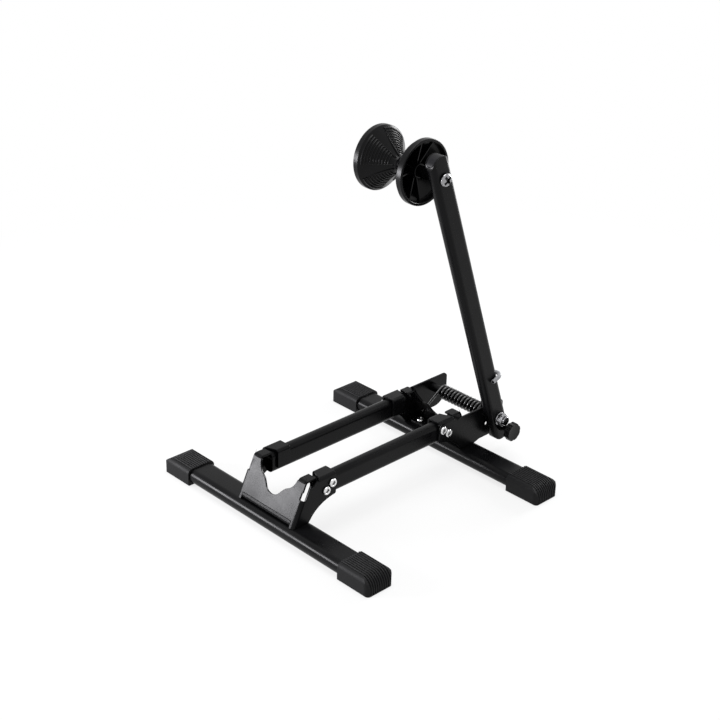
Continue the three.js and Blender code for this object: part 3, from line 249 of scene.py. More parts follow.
def surface(name, colour, roughness, metallic=0.0, specular=0.5, coat=0.0,
            grain=0.5, bump=0.1, cloud=40.0, spread=0.15, rough_spread=0.06, crevice=0.0):
    """A material with fine grain in its relief, and slow clouds in its colour and roughness.
    Where crevice is set, painted shade darkens its colour near other surfaces, by ambient occlusion within
    crevice. grain, cloud and crevice are in mm."""
    material = bpy.data.materials.new(name)
    material.use_nodes = True
    tree = material.node_tree
    link = tree.links.new
    shader = tree.nodes["Principled BSDF"]
    shader.inputs["Metallic"].default_value = metallic
    shader.inputs["Specular IOR Level"].default_value = specular
    shader.inputs["Coat Weight"].default_value = coat
    shader.inputs["Coat Roughness"].default_value = COAT_ROUGHNESS
    place = add_node(tree, "TexCoord").outputs["Object"]

    clouds = add_node(tree, "TexNoise", Scale=1 / (cloud * MM), Detail=CLOUD_DETAIL)
    link(place, clouds.inputs["Vector"])
    ramp = add_node(tree, "ValToRGB")
    for end, position, share in zip(ramp.color_ramp.elements, CLOUD_RANGE, (1 - spread, 1 + spread)):
        end.position = position
        end.color = [min(c * share, 1) for c in colour] + [1]
    link(clouds.outputs["Fac"], ramp.inputs["Fac"])
    tint = ramp.outputs["Color"]
    # painted shade: ambient occlusion darkens the base colour in crevices and recesses
    if crevice:
        reach = add_node(tree, "AmbientOcclusion", Distance=crevice * MM)
        low, high = PAINTED_SHADE_RANGE
        painted_shade = add_node(tree, "MapRange", From_Min=low, From_Max=high, To_Min=PAINTED_SHADE_DARKEST)
        link(reach.outputs["AO"], painted_shade.inputs["Value"])
        darker = add_node(tree, "VectorMath")
        darker.operation = "SCALE"
        link(tint, darker.inputs[0])
        link(painted_shade.outputs["Result"], darker.inputs["Scale"])
        tint = darker.outputs["Vector"]
    link(tint, shader.inputs["Base Color"])
    low, high = CLOUD_RANGE
    shine = add_node(tree, "MapRange", From_Min=low, From_Max=high,
                     To_Min=roughness - rough_spread, To_Max=roughness + rough_spread)
    link(clouds.outputs["Fac"], shine.inputs["Value"])
    link(shine.outputs["Result"], shader.inputs["Roughness"])

    grains = add_node(tree, "TexNoise", Scale=1 / (grain * MM), Detail=GRAIN_DETAIL)
    link(place, grains.inputs["Vector"])
    relief = add_node(tree, "Bump", Strength=bump, Distance=GRAIN_DEPTH)
    link(grains.outputs["Fac"], relief.inputs["Height"])
    link(relief.outputs["Normal"], shader.inputs["Normal"])
    return material


MATERIALS = {
    "paint": surface("powder_coat", (0.003, 0.003, 0.0034), 0.28,
                     specular=0.105, grain=0.55, bump=0.09),
    "rubber": surface("rubber", (0.005, 0.005, 0.0055), 0.55,
                      specular=0.15, grain=0.45, bump=0.3, cloud=18, spread=0.3),
    "plastic": surface("moulded_plastic", (0.002, 0.002, 0.0024), 0.28,
                       specular=0.14, grain=0.6, bump=0.1),
    "plug": surface("plug_plastic", (0.009, 0.009, 0.0105), 0.42,
                    specular=0.12, grain=0.4, bump=0.15),
    # chrome and zinc: crevice paints shade into their recesses
    "chrome": surface("bright_plate", (0.3, 0.3, 0.31), 0.13, metallic=1.0,
                      grain=1.2, bump=0.06, cloud=6, spread=0.12, rough_spread=0.05, crevice=4),
    "zinc": surface("zinc_plate", (0.75, 0.75, 0.75), 0.24, metallic=1.0,
                    grain=0.8, bump=0.05, cloud=5, spread=0.1, rough_spread=0.05, crevice=2.5),
    "spring": surface("gloss_black", (0.004, 0.004, 0.0045), 0.2,
                      specular=0.5, coat=0.5, grain=1.5, bump=0.08),
    "sleeve": surface("grey_sleeve", (0.34, 0.345, 0.36), 0.35,
                      specular=0.4, grain=0.8, bump=0.08, cloud=8, spread=0.08),
}

# ---------------------------- outlines


def arc(cx, cy, r, a0, a1, steps):
    turns = [a0 + (a1 - a0) * i / steps for i in range(steps + 1)]
    return [(cx + r * cos(a), cy + r * sin(a)) for a in turns]


def circle(cx, cy, r, sides):
    return arc(cx, cy, r, 0, 2 * pi * (sides - 1) / sides, sides - 1)


def round_box(x0, y0, x1, y1, radii, steps=8):
    """A box with its own radius at each corner: lower left, lower right, upper right, upper left."""
    ll, lr, ur, ul = radii
    q = pi / 2
    return (arc(x0 + ll, y0 + ll, ll, 2 * q, 3 * q, steps)
            + arc(x1 - lr, y0 + lr, lr, 3 * q, 4 * q, steps)
            + arc(x1 - ur, y1 - ur, ur, 0, q, steps)
            + arc(x0 + ul, y1 - ul, ul, q, 2 * q, steps))


def oval(w, h, r):
    return round_box(-w / 2, -h / 2, w / 2, h / 2, (r, r, r, r))


def bent_strip(path, thickness, inside_r, steps=7):
    """Bent sheet seen on edge, from the corners of its middle line."""
    r = inside_r + thickness / 2
    corners = [Vector(p) for p in path]
    left, right = [], []

    def put(point, normal):
        left.append(tuple(point + normal * thickness / 2))
        right.append(tuple(point - normal * thickness / 2))

    def across(a, b):
        way = (b - a).normalized()
        return Vector((-way.y, way.x))

    put(corners[0], across(corners[0], corners[1]))
    for a, b, c in zip(corners, corners[1:], corners[2:]):
        d0, d1 = (b - a).normalized(), (c - b).normalized()
        turn = atan2(d0.x * d1.y - d0.y * d1.x, d0.dot(d1))
        start = b - d0 * r * tan(abs(turn) / 2)
        centre = start + across(a, b) * copysign(r, turn)
        for k in range(steps + 1):
            rotate = Matrix.Rotation(turn * k / steps, 2)
            put(centre + rotate @ (start - centre), rotate @ across(a, b))
    put(corners[-1], across(corners[-2], corners[-1]))
    return left + right[::-1]


def through(points, steps):
    """A smooth curve through the points, with that many steps in all."""
    made = []
    for i in range(steps + 1):
        place = i / steps * (len(points) - 1)
        k = min(int(place), len(points) - 2)
        t = place - k
        p0, p1, p2 = points[max(k - 1, 0)], points[k], points[k + 1]
        p3 = points[min(k + 2, len(points) - 1)]
        made.append(tuple(
            b + t * ((c - a) / 2 + t * ((2 * a - 5 * b + 4 * c - d) / 2 + t * (3 * b - a - 3 * c + d) / 2))
            for a, b, c, d in zip(p0, p1, p2, p3)))
    return made


def bezier(p0, p1, p2, p3, steps):
    made = []
    for i in range(steps + 1):
        t = i / steps
        weights = ((1 - t) ** 3, 3 * t * (1 - t) ** 2, 3 * t * t * (1 - t), t ** 3)
        made.append(tuple(sum(w * p[k] for w, p in zip(weights, (p0, p1, p2, p3))) for k in (0, 1)))
    return made


# ---------------------------- solids


def solid(verts, faces):
    bm = bmesh.new()
    made = [bm.verts.new(v) for v in verts]
    for face in faces:
        bm.faces.new([made[i] for i in face])
    bmesh.ops.remove_doubles(bm, verts=bm.verts, dist=1e-4)
    bmesh.ops.dissolve_degenerate(bm, edges=bm.edges, dist=1e-5)
    bmesh.ops.recalc_face_normals(bm, faces=bm.faces)
    mesh = bpy.data.meshes.new("solid")
    bm.to_mesh(mesh)
    bm.free()
    return mesh


def along_x(a, b, h):
    return (h, a, b)


def along_y(a, b, h):
    return (a, h, b)


def along_z(a, b, h):
    return (a, b, h)


def loft(levels, to):
    """A solid through (height, outline) levels whose outlines have the same count of points.
    to() gives the place of an outline point at a height."""
    n, last = len(levels[0][1]), len(levels) - 1
    verts = [to(a, b, h) for h, outline in levels for a, b in outline]
    sides = [(k * n + i, k * n + (i + 1) % n, (k + 1) * n + (i + 1) % n, (k + 1) * n + i)
             for k in range(last) for i in range(n)]
    return solid(verts, [tuple(range(n)), tuple(range(last * n, (last + 1) * n))] + sides)


def prism(outline, h0, h1, to):
    """An outline run from h0 to h1."""
    return loft([(h0, outline), (h1, outline)], to)


def pipe(outer, inner, h0, h1, to):
    """A tube with open ends, from two outlines with the same count of points."""
    n = len(outer)
    verts = [to(a, b, h) for h in (h0, h1) for loop in (outer, inner) for a, b in loop]
    faces = []
    for i in range(n):
        j = (i + 1) % n
        for a, b in ((0, 2), (1, 3), (0, 1), (2, 3)):
            faces.append((a * n + i, a * n + j, b * n + j, b * n + i))
    return solid(verts, faces)


def box(x0, x1, y0, y1, z0, z1):
    return prism([(x0, y0), (x1, y0), (x1, y1), (x0, y1)], z0, z1, along_z)


def turned(profile, segments=64, closed=False):
    """A profile of (radius, y) points turned round the Y axis."""
    n = len(profile)
    verts = []
    for j in range(segments):
        a = 2 * pi * j / segments
        verts += [(r * cos(a), y, -r * sin(a)) for r, y in profile]
    faces = []
    for j in range(segments):
        for k in range(n if closed else n - 1):
            a, b = j * n + k, j * n + (k + 1) % n
            c, d = ((j + 1) % segments) * n + (k + 1) % n, ((j + 1) % segments) * n + k
            faces.append((a, b, c, d))
    return solid(verts, faces)


def bar(x, z, r, y0, y1, segments=48):
    """A round bar along Y."""
    return prism(circle(x, z, r, segments), y0, y1, along_y)


def ring(outer, inner, y0, y1, edge=0.3):
    """A ring along Y with small chamfers."""
    profile = [(inner, y0 + edge), (inner + edge, y0), (outer - edge, y0), (outer, y0 + edge),
               (outer, y1 - edge), (outer - edge, y1), (inner + edge, y1), (inner, y1 - edge)]
    return turned(profile, closed=True)


def six_corners(r):
    return [(r * cos(radians(60 * k)), r * sin(radians(60 * k))) for k in range(6)]


def hexagon(flats, y0, y1, chamfer=0.9):
    """A hexagonal bar along Y with its corners turned down at both ends."""
    r = flats / sqrt(3)
    low, wide = flats / 2 + 0.2, r + 0.01
    turn = turned([(0, y0), (low, y0), (wide, y0 + chamfer), (wide, y1 - chamfer), (low, y1), (0, y1)])
    return boolean(prism(six_corners(r), y0, y1, along_y), "INTERSECT", turn)


def wire(points, r, sides=14):
    """A closed round tube along a line of points, without twist."""
    points = [Vector(p) for p in points]
    last = len(points) - 1
    turns = [2 * pi * k / sides for k in range(sides)]
    normal = None
    verts = []
    for i, point in enumerate(points):
        way = (points[min(i + 1, last)] - points[max(i - 1, 0)]).normalized()
        if normal is None:
            normal = Vector((0, 0, 1)).cross(way)
        normal = (normal - way * way.dot(normal)).normalized()
        other = way.cross(normal)
        verts += [point + (normal * cos(a) + other * sin(a)) * r for a in turns]
    faces = [tuple(range(sides)), tuple(range(last * sides, (last + 1) * sides))]
    for i in range(last):
        for k in range(sides):
            a, b = i * sides + k, i * sides + (k + 1) % sides
            faces.append((a, b, b + sides, a + sides))
    return solid(verts, faces)


def evaluated(mesh, setup):
    """The mesh after the modifiers that setup() puts on it."""
    holder = add_object("holder", mesh)
    helpers = setup(holder) or []
    graph = bpy.context.evaluated_depsgraph_get()
    result = bpy.data.meshes.new_from_object(holder.evaluated_get(graph))
    for obj in [holder, *helpers]:
        bpy.data.objects.remove(obj)
    return result


def boolean(mesh, operation, *others):
    def setup(holder):
        helpers = []
        for other in others:
            helper = add_object("helper", other)
            modifier = holder.modifiers.new("combine", "BOOLEAN")
            modifier.operation = operation
            modifier.solver = "EXACT"
            modifier.object = helper
            helpers.append(helper)
        return helpers
    return evaluated(mesh, setup)


def cut(mesh, *others):
    return boolean(mesh, "DIFFERENCE", *others)


def weld(mesh, *others):
    return boolean(mesh, "UNION", *others)


def split_large_faces(mesh):
    """Triangles in place of faces with many corners, while the mesh is still in mm."""
    bm = bmesh.new()
    bm.from_mesh(mesh)
    bmesh.ops.triangulate(bm, faces=[face for face in bm.faces if len(face.verts) > 4])
    result = bpy.data.meshes.new("split")
    bm.to_mesh(result)
    bm.free()
    return result


def soften(mesh, width, segments=1, angle=50):
    """Small rounds on the edges that turn by more than angle, in degrees."""
    def setup(holder):
        bevel = holder.modifiers.new("edges", "BEVEL")
        bevel.width = width
        bevel.segments = segments
        bevel.limit_method = "ANGLE"
        bevel.angle_limit = radians(angle)
        bevel.use_clamp_overlap = False
    return evaluated(split_large_faces(mesh), setup)


def together(*meshes):
    """Several closed meshes as one, without cutting them."""
    bm = bmesh.new()
    for mesh in meshes:
        bm.from_mesh(mesh)
    result = bpy.data.meshes.new("together")
    bm.to_mesh(result)
    bm.free()
    return result


def moved(mesh, matrix):
    copy = mesh.copy()
    copy.transform(matrix)
    return copy


def dress(node, mesh, place, slot, body, smooth=34, look=None):
    """Puts a finer piece where a CAD node is, in that node's place. look is the name of its
    material where it isn't the slot's own, and smooth is in degrees."""
    fine = moved(split_large_faces(mesh), Matrix.Scale(MM, 4) @ place)
    for polygon in fine.polygons:
        polygon.use_smooth = True
    fine.set_sharp_from_angle(angle=radians(smooth))
    fine.materials.clear()
    fine.materials.append(MATERIALS[look or slot])
    piece = add_object(f"{node}_fine", fine)
    level = piece.modifiers.new("flat_faces", "WEIGHTED_NORMAL")
    level.keep_sharp = True
    if body:
        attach(piece, body)
    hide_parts(node)
    return piece


# ---------------------------- feet


def foot_tube():
    half = FOOT_LENGTH / 2 - CAP_END - GAP
    inset = 2 * FOOT_WALL
    tube = pipe(oval(FOOT_W, FOOT_H, FOOT_R), oval(FOOT_W - inset, FOOT_H - inset, FOOT_R - FOOT_WALL),
                -half, half, along_y)
    tube.transform(Matrix.Translation((0, 0, FOOT_Z)))
    holes = [prism(circle(0, side * BASE_BOLT_Y, BOLT_R + GAP, 24), FOOT_Z, FOOT_TOP + 2, along_z)
             for side in (-1, 1)]
    return cut(tube, *holes)


def cap_groove(x):
    """A groove along the top, round the big edge and down the end, with round shoulders."""
    levels = []
    for share, depth in CAP_GROOVE_FORM:
        edge = arc(CAP_LENGTH - CAP_EDGE_R, CAP_H - CAP_EDGE_R, CAP_EDGE_R - depth, pi / 2, 0, 14)
        outline = [(-1, CAP_H - depth), *edge, (CAP_LENGTH - depth, CAP_SOLE), (CAP_LENGTH + 2, CAP_SOLE),
                   (CAP_LENGTH + 2, CAP_H + 2), (-1, CAP_H + 2)]
        levels.append((x + share * CAP_GROOVE_PITCH, outline))
    return loft(levels, along_x)


def foot_cap():
    """The mouth is at y = 0 and the closed end at y = CAP_LENGTH."""
    section = round_box(-CAP_W / 2, 0, CAP_W / 2, CAP_H,
                        (CAP_SOLE_R, CAP_SOLE_R, CAP_CORNER_R, CAP_CORNER_R), 10)
    side = round_box(0, 0, CAP_LENGTH, CAP_H, (SHARP, CAP_TOE_R, CAP_EDGE_R, SHARP), 14)
    plan = round_box(-CAP_W / 2, -5, CAP_W / 2, CAP_LENGTH, (SHARP, SHARP, CAP_END_R, CAP_END_R), 12)
    body = boolean(prism(section, 0, CAP_LENGTH, along_y), "INTERSECT",
                   prism(side, -CAP_W, CAP_W, along_x), prism(plan, -1, CAP_H + 1, along_z))
    fit = oval(FOOT_W + 2 * GAP, FOOT_H + 2 * GAP, FOOT_R + GAP)
    pocket = prism(fit, -1, CAP_LENGTH - CAP_END, along_y)
    pocket.transform(Matrix.Translation((0, 0, FOOT_Z)))
    body = cut(body, pocket)
    grooves = [cap_groove((i - (CAP_GROOVES - 1) / 2) * CAP_GROOVE_PITCH) for i in range(CAP_GROOVES)]
    return soften(cut(body, together(*grooves)), CAP_SOFT)


def add_feet():
    tube = foot_tube()
    cap = foot_cap()
    mouth = FOOT_LENGTH / 2 - CAP_LENGTH
    for name, place, far in ENDS:
        dress(f"{name}_foot_tube", tube, place, "paint", "frame")
        for label, side, turn in far_and_near(far):
            at = place @ Matrix.Translation((0, side * mouth, 0)) @ turn
            dress(f"{name}_{label}_cap", cap, at, "rubber", "frame")


# ---------------------------- rails


def add_rails():
    half = FOOT_SPACING / 2 - RAIL_SETBACK
    inset = 2 * TUBE_WALL
    tube = pipe(oval(TUBE_T, TUBE_W, TUBE_R), oval(TUBE_T - inset, TUBE_W - inset, TUBE_R - TUBE_WALL),
                -half, half, along_x)
    holes = [bar(end * (FOOT_SPACING / 2 - x), z, BOLT_R + GAP, 0, TUBE_T, 24)
             for end in (-1, 1) for x, z in SIDE_BOLTS]
    tube = soften(cut(tube, *holes), RAIL_SOFT)
    middle = (X_FRONT + X_REAR) / 2
    for label, side, turn in far_and_near():
        at = Matrix.Translation((middle, side * RAIL_Y, RAIL_Z)) @ turn
        dress(f"rail_{label}", tube, at, "paint", "frame")


# ---------------------------- brackets
# Drawn from the foot's centre-line, with +X into the stand.


def on_plate(s, p):
    """(x, z) of a point s up the plate and p behind its outer face."""
    return (-PLATE_FOOT + s * sin(PLATE_LEAN) + p * cos(PLATE_LEAN),
            BASE_Z + s * cos(PLATE_LEAN) - p * sin(PLATE_LEAN))


def through_plate(y, s, p):
    x, z = on_plate(s, p)
    return (x, y, z)


def up_slope(p, y, s):
    return through_plate(y, s, p)


def notch():
    """What the tyre's notch takes from the plate."""
    rise = PLATE_HEIGHT - NOTCH_FLOOR
    side = through([(a * NOTCH_TOP, NOTCH_FLOOR + b * rise) for a, b in NOTCH_SIDE], 48)
    mirrored = [(-y, s) for y, s in side[:0:-1]]
    lid = PLATE_HEIGHT + 3 * SHEET
    outline = [(-NOTCH_TOP, lid), *mirrored, *side, (NOTCH_TOP, lid)]
    return prism(outline, -SHEET, 2 * SHEET, through_plate)


def cheek_sweep():
    """The cheek's lower edge, from the foot up to its free edge, in (x, z)."""
    free = RAIL_Z - CHEEK_DROP
    curve = bezier((CHEEK_TOE + 3, BASE_Z + 3.2), (CHEEK_TOE + 13, free - 7.5),
                   (CHEEK_REACH - 16, free - 1.5), (CHEEK_REACH - 1.5, free), 24)
    return [(CHEEK_TOE, BASE_Z), *curve, (CHEEK_REACH, free + 1.5)]


def rail_clamp(side):
    """The cheek's fold over the rail, which starts later on the inside."""
    low = RAIL_Z - CLAMP_DROP
    path = [(CHEEK_MID, CHEEK_RIM), (CHEEK_MID, CLAMP_Z), (CLAMP_IN, CLAMP_Z), (CLAMP_IN, low)]
    strip = bent_strip([(side * y, z) for y, z in path], SHEET, TIGHT_R)
    clear, start = CLAMP_START - 3 * CLAMP_LAP, CLAMP_START + CLAMP_SKEW
    corners = [(clear, CHEEK_OUT + 1), (CLAMP_START - 0.4, CHEEK_OUT + 1), (start, CLAMP_IN + SHEET),
               (start, CLAMP_IN - SHEET), (clear, CLAMP_IN - SHEET)]
    skew = [(x, side * y) for x, y in corners]
    return cut(prism(strip, CLAMP_START - CLAMP_LAP, CHEEK_REACH, along_x),
               prism(skew, RAIL_Z - TUBE_W, CLAMP_Z + SHEET, along_z))


def ear(side):
    """The tab beside the notch, folded back from the plate's top."""
    x, z = on_plate(PLATE_HEIGHT - EAR_ROOT, SHEET / 2)
    rise = (CLAMP_Z - z) / cos(PLATE_LEAN)
    path = [(x, z), (x + rise * sin(PLATE_LEAN), CLAMP_Z), (EAR_REACH, CLAMP_Z)]
    strip = bent_strip(path, SHEET, BEND_R)
    inner = side * (NOTCH_TOP + EAR_IN)
    return prism(strip, inner, inner + side * EAR_W, along_y)


def base_flange():
    """The plate's lower edge, folded flat on the foot."""
    x, z = on_plate(BASE_ROOT, SHEET / 2)
    low = BASE_Z + SHEET / 2
    corner = (x - (z - low) * tan(PLATE_LEAN), low)
    strip = bent_strip([(x, z), corner, (BASE_DEPTH, low)], SHEET, TIGHT_R)
    return prism(strip, -BASE_HALF_W, BASE_HALF_W, along_y)


def base_relief():
    """What is cut away between the cheeks where the base flange starts."""
    return box(-2 * PLATE_FOOT, CHEEK_TOE, -BASE_HALF_W, BASE_HALF_W, BASE_Z - 1, BASE_Z + BASE_RELIEF)


def slit(side):
    """What frees the plate's upper part from the cheek."""
    y0, y1 = side * PLATE_EDGE, side * (CHEEK_OUT + 1)
    outline = [(y0, SLIT_START), (y1, SLIT_START), (y1, 2 * PLATE_HEIGHT), (y0, 2 * PLATE_HEIGHT)]
    return prism(outline, -1, SHEET + BEND_R, through_plate)


def bracket_holes():
    holes = []
    for side in (-1, 1):
        outline = circle(0, side * BASE_BOLT_Y, BOLT_R + GAP, 24)
        holes.append(prism(outline, BASE_Z - 1, BASE_Z + SHEET + 1, along_z))
        low, high = side * (CHEEK_IN - 1), side * (CHEEK_OUT + 1)
        holes += [bar(x, RAIL_Z + z, BOLT_R + GAP, low, high, 24) for x, z in SIDE_BOLTS]
    return holes


def both(make):
    """The far and the near one of a form."""
    return [make(1), make(-1)]


def front_bracket():
    """Plate and cheeks are one channel, leaning with the plate and trimmed from the side."""
    far = 1.5 * CHEEK_REACH
    path = [(far, CHEEK_MID), (SHEET / 2, CHEEK_MID), (SHEET / 2, -CHEEK_MID), (far, -CHEEK_MID)]
    channel = bent_strip(path, SHEET, BEND_R)
    outline = [(-3 * PLATE_FOOT, BASE_Z), *cheek_sweep(), (CHEEK_REACH, CHEEK_RIM),
               (CLAMP_START - CLAMP_LAP, CHEEK_RIM), (CLAMP_START - 12, CHEEK_RIM - 5),
               on_plate(PLATE_HEIGHT, 2 * SHEET), on_plate(PLATE_HEIGHT, -2 * SHEET),
               (-3 * PLATE_FOOT, BASE_Z + 30)]
    folded = boolean(prism(channel, -40, 110, up_slope), "INTERSECT",
                     prism(outline, -CHEEK_OUT - 5, CHEEK_OUT + 5, along_y))
    folded = cut(folded, base_relief(), *both(slit), notch())
    folded = weld(folded, base_flange(), *both(ear), *both(rail_clamp))
    return soften(cut(folded, *bracket_holes()), SHEET_SOFT, 2, 40)


def side_plate():
    """The outline of a cheek that runs on behind the foot and carries the pivot."""
    tail = -PIVOT_X - PLATE_TAIL
    low = BASE_Z + TAIL_LIFT
    x = on_plate(PLATE_HEIGHT, SHEET + PLATE_TOP_START)[0]
    return [*cheek_sweep(), (CHEEK_REACH, CHEEK_RIM), (CLAMP_START - CLAMP_LAP, CHEEK_RIM),
            (x + 4, CHEEK_RIM - 4), (x, PLATE_TOP),
            *arc(tail + TAIL_CORNER_R, PLATE_TOP - TAIL_CORNER_R, TAIL_CORNER_R, pi / 2, pi, 10),
            *arc(tail + TAIL_ROUND_R, low + TAIL_ROUND_R, TAIL_ROUND_R, pi, 1.5 * pi, 20),
            (-PLATE_FOOT - 10, low), (-PLATE_FOOT, BASE_Z)]


def index_holes():
    holes = []
    for turn in LOCK_ANGLES:
        angle = ARM_LEAN + radians(turn)
        x, z = -PIVOT_X - LOCK_DROP * sin(angle), PIVOT_Z - LOCK_DROP * cos(angle)
        holes.append(bar(x, z, LOCK_R + GAP, CHEEK_IN - 1, CHEEK_OUT + 1, 32))
    return holes


# the torsion spring's fixed leg, from the pivot in (x, z)
LEG_START = (-COIL_R * sin(LEG_ANGLE), COIL_R * cos(LEG_ANGLE))
LEG_WAY = (-cos(LEG_ANGLE), -sin(LEG_ANGLE))


def leg_hole():
    """What the fixed leg passes through in the cross plate."""
    points = []
    for run in (0, 2 * LEG_LENGTH):
        x = PIVOT_X + LEG_START[0] + run * LEG_WAY[0]
        points.append((-x, -COIL_FAR_Y, PIVOT_Z + LEG_START[1] + run * LEG_WAY[1]))
    return wire(points, LEG_HOLE_R, 32)


def rear_bracket():
    plates = [prism(side_plate(), side * CHEEK_IN, side * CHEEK_OUT, along_y) for side in (1, -1)]
    low, high = CHEEK_IN + 1, PLATE_EDGE
    cross = prism([(-low, 0), (low, 0), (low, SLIT_START), (high, SLIT_START), (high, PLATE_HEIGHT),
                   (-high, PLATE_HEIGHT), (-high, SLIT_START), (-low, SLIT_START)], 0, SHEET, through_plate)
    under = box(-3 * PLATE_FOOT, CHEEK_REACH, -2 * CHEEK_OUT, 2 * CHEEK_OUT, BASE_Z - 20, BASE_Z)
    cross = cut(cross, base_relief(), under, notch())
    bracket = weld(cross, *plates, base_flange(), *both(ear), *both(rail_clamp))
    pivot_hole = bar(-PIVOT_X, PIVOT_Z, PIVOT_R + GAP, -2 * CHEEK_OUT, 2 * CHEEK_OUT)
    bracket = cut(bracket, *bracket_holes(), pivot_hole, *index_holes(), leg_hole())
    return soften(bracket, SHEET_SOFT, 2, 40)


def add_brackets():
    dress("front_bracket", front_bracket(), FRONT, "paint", "frame")
    dress("rear_bracket", rear_bracket(), REAR, "paint", "frame")


# ---------------------------- bolts


def button_head(r, h, shank, length, flat, recess):
    """A bolt along +Y with the head's underside at y = 0. flat is the flat share of the head's radius."""
    dome = [(r * (flat + (1 - flat) * x), h * (HEAD_RIM + (1 - HEAD_RIM) * y))
            for x, y in arc(0, 0, 1, 0, pi / 2, 12)]
    profile = [(0, -length), (shank - 0.5, -length), (shank, -length + 0.5), (shank, 0), (r - 0.3, 0),
               (r, 0.3), *dome, (0, h)]
    return cut(turned(profile), *recess)


def hex_socket(r, h):
    """A hexagonal socket with a small flare at its mouth."""
    flare = turned([(0, h + 1), (r + 1.3, h + 1), (r - 0.3, h - 0.6), (0, h - 0.6)])
    return [prism(six_corners(r), h * SOCKET_FLOOR, h + 1, along_y), flare]


def cross_recess(r, h):
    """A cross-shaped driver recess that narrows downwards."""
    foot, floor = r * CROSS_FOOT, h * CROSS_FLOOR
    outline = [(-r, h + 1), (r, h + 1), (foot, floor), (-foot, floor)]
    blade = prism(outline, -r * CROSS_BLADE, r * CROSS_BLADE, along_z)
    return [moved(blade, Matrix.Rotation(turn, 4, "Y")) for turn in (0, pi / 2)]


def add_bolts():
    recess = hex_socket(BOLT_SOCKET_R, BOLT_HEAD_H)
    bolt = button_head(BOLT_HEAD_R, BOLT_HEAD_H, BOLT_R, BOLT_LENGTH, BOLT_FLAT, recess)
    bolt = soften(bolt, BOLT_SOFT)
    first, per_bolt, per_side = BOLT_TURNS
    for name, place, far in ENDS:
        for label, side, turn in far_and_near(far):
            for i, (x, z) in enumerate(SIDE_BOLTS):
                at = place @ Matrix.Translation((x, side * (CHEEK_OUT + GAP), RAIL_Z + z)) @ turn
                spin = Matrix.Rotation(radians(first + per_bolt * i + per_side * side), 4, "Y")
                dress(f"{name}_{label}_rail_bolt_{i + 1}", bolt, at @ spin, "chrome", "frame", look="zinc")
            upright = Matrix.Rotation(pi / 2, 4, "X")
            at = place @ Matrix.Translation((0, side * BASE_BOLT_Y, BASE_Z + SHEET + GAP)) @ upright
            dress(f"{name}_{label}_base_bolt", bolt, at, "chrome", "frame", look="zinc")


# ---------------------------- pivot hardware


def pivot_nut():
    """A lock nut with a washer face towards the arm and a collar round its end."""
    flange = NUT_Y - NUT_FLANGE_H
    low = flange - NUT_H
    end = low - NUT_COLLAR_H
    washer = turned([(0, NUT_Y), (NUT_FLANGE_R - 0.2, NUT_Y), (NUT_FLANGE_R, NUT_Y - 0.3),
                     (NUT_FLANGE_R, flange + 0.6), (NUT_FLANGE_R - 1.2, flange), (0, flange)])
    collar = turned([(0, low + 0.2), (NUT_COLLAR_R, low + 0.2), (NUT_COLLAR_R, end + 0.9),
                     (NUT_COLLAR_R - 0.9, end), (0, end)])
    nut = weld(washer, hexagon(NUT_AF, low, flange + 0.2), collar)
    return soften(cut(nut, bar(0, 0, PIVOT_R + GAP, low - 20, NUT_Y + 1)), NUT_SOFT)


def add_pivot():
    end = NUT_Y - NUT_FLANGE_H - NUT_H - NUT_COLLAR_H + THREAD_IN
    head = CHEEK_OUT + GAP
    shank = turned([(0, end), (PIVOT_R - 1, end), (PIVOT_R, end + 1), (PIVOT_R, head + 1), (0, head + 1)])
    bolt = together(shank, hexagon(NUT_AF, head, head + PIVOT_HEAD_H))
    dress("pivot_bolt", bolt, PIVOT, "chrome", "frame")
    dress("pivot_nut", pivot_nut(), PIVOT, "chrome", "frame")
    sleeve = ring(SLEEVE_R, PIVOT_R + GAP, -CHEEK_IN + GAP, CHEEK_IN - GAP)
    dress("pivot_sleeve", sleeve, PIVOT, "paint", "frame")
    spacer = ring(SPACER_R, PIVOT_R + GAP, ARM_IN + GAP, -CHEEK_OUT - GAP)
    dress("pivot_spacer", spacer, PIVOT, "chrome", "frame")


# ---------------------------- torsion spring


def beside_arm(across, y, up):
    """A point beside the arm, from the pivot: across (rearwards), y, and up along the arm."""
    return Matrix.Rotation(-ARM_LEAN, 3, "Y") @ Vector((across, y, up))


HOOK_BACK = TUBE_W / 2 + GAP + HOOK_SLEEVE_R


def hook_line():
    """The middle line of the hook's end, across the arm's outer face and round its back."""
    out = ARM_OUT - GAP - HOOK_SLEEVE_R
    r = HOOK_BEND_R
    points = [beside_arm(HOOK_TAIL + (HOOK_BACK - r - HOOK_TAIL) * k / 3, out, HOOK_RISE) for k in range(3)]
    for x, y in arc(HOOK_BACK - r, out + r, r, -pi / 2, 0, BEND_STEPS):
        points.append(beside_arm(x, y, HOOK_RISE))
    return points


def spring_line():
    """The wire's middle line: hook, leg down the arm's back, coil, and fixed leg."""
    points = hook_line()
    r = HOOK_BEND_R
    for y, z in arc(COIL_NEAR_Y - r, HOOK_RISE - r, r, pi / 2, 0, BEND_STEPS):
        points.append(beside_arm(HOOK_BACK, y, z))
    top = points[-1]
    sweep = atan2(top.z, top.x) + acos(COIL_R / hypot(top.x, top.z))
    meet = Vector((COIL_R * cos(sweep), COIL_NEAR_Y, COIL_R * sin(sweep)))
    points += [top.lerp(meet, i / LEG_STEPS) for i in range(1, LEG_STEPS)]
    leave = pi / 2 + LEG_ANGLE + 2 * pi * COIL_TURNS
    steps = round((leave - sweep) / (2 * pi) * COIL_STEPS)
    for i in range(steps + 1):
        a = sweep + (leave - sweep) * i / steps
        y = COIL_NEAR_Y + (COIL_FAR_Y - COIL_NEAR_Y) * i / steps
        points.append(Vector((COIL_R * cos(a), y, COIL_R * sin(a))))
    for i in range(1, LEG_STEPS + 1):
        run = LEG_LENGTH * i / LEG_STEPS
        x, z = (start + run * way for start, way in zip(LEG_START, LEG_WAY))
        points.append(Vector((x, COIL_FAR_Y, z)))
    return points


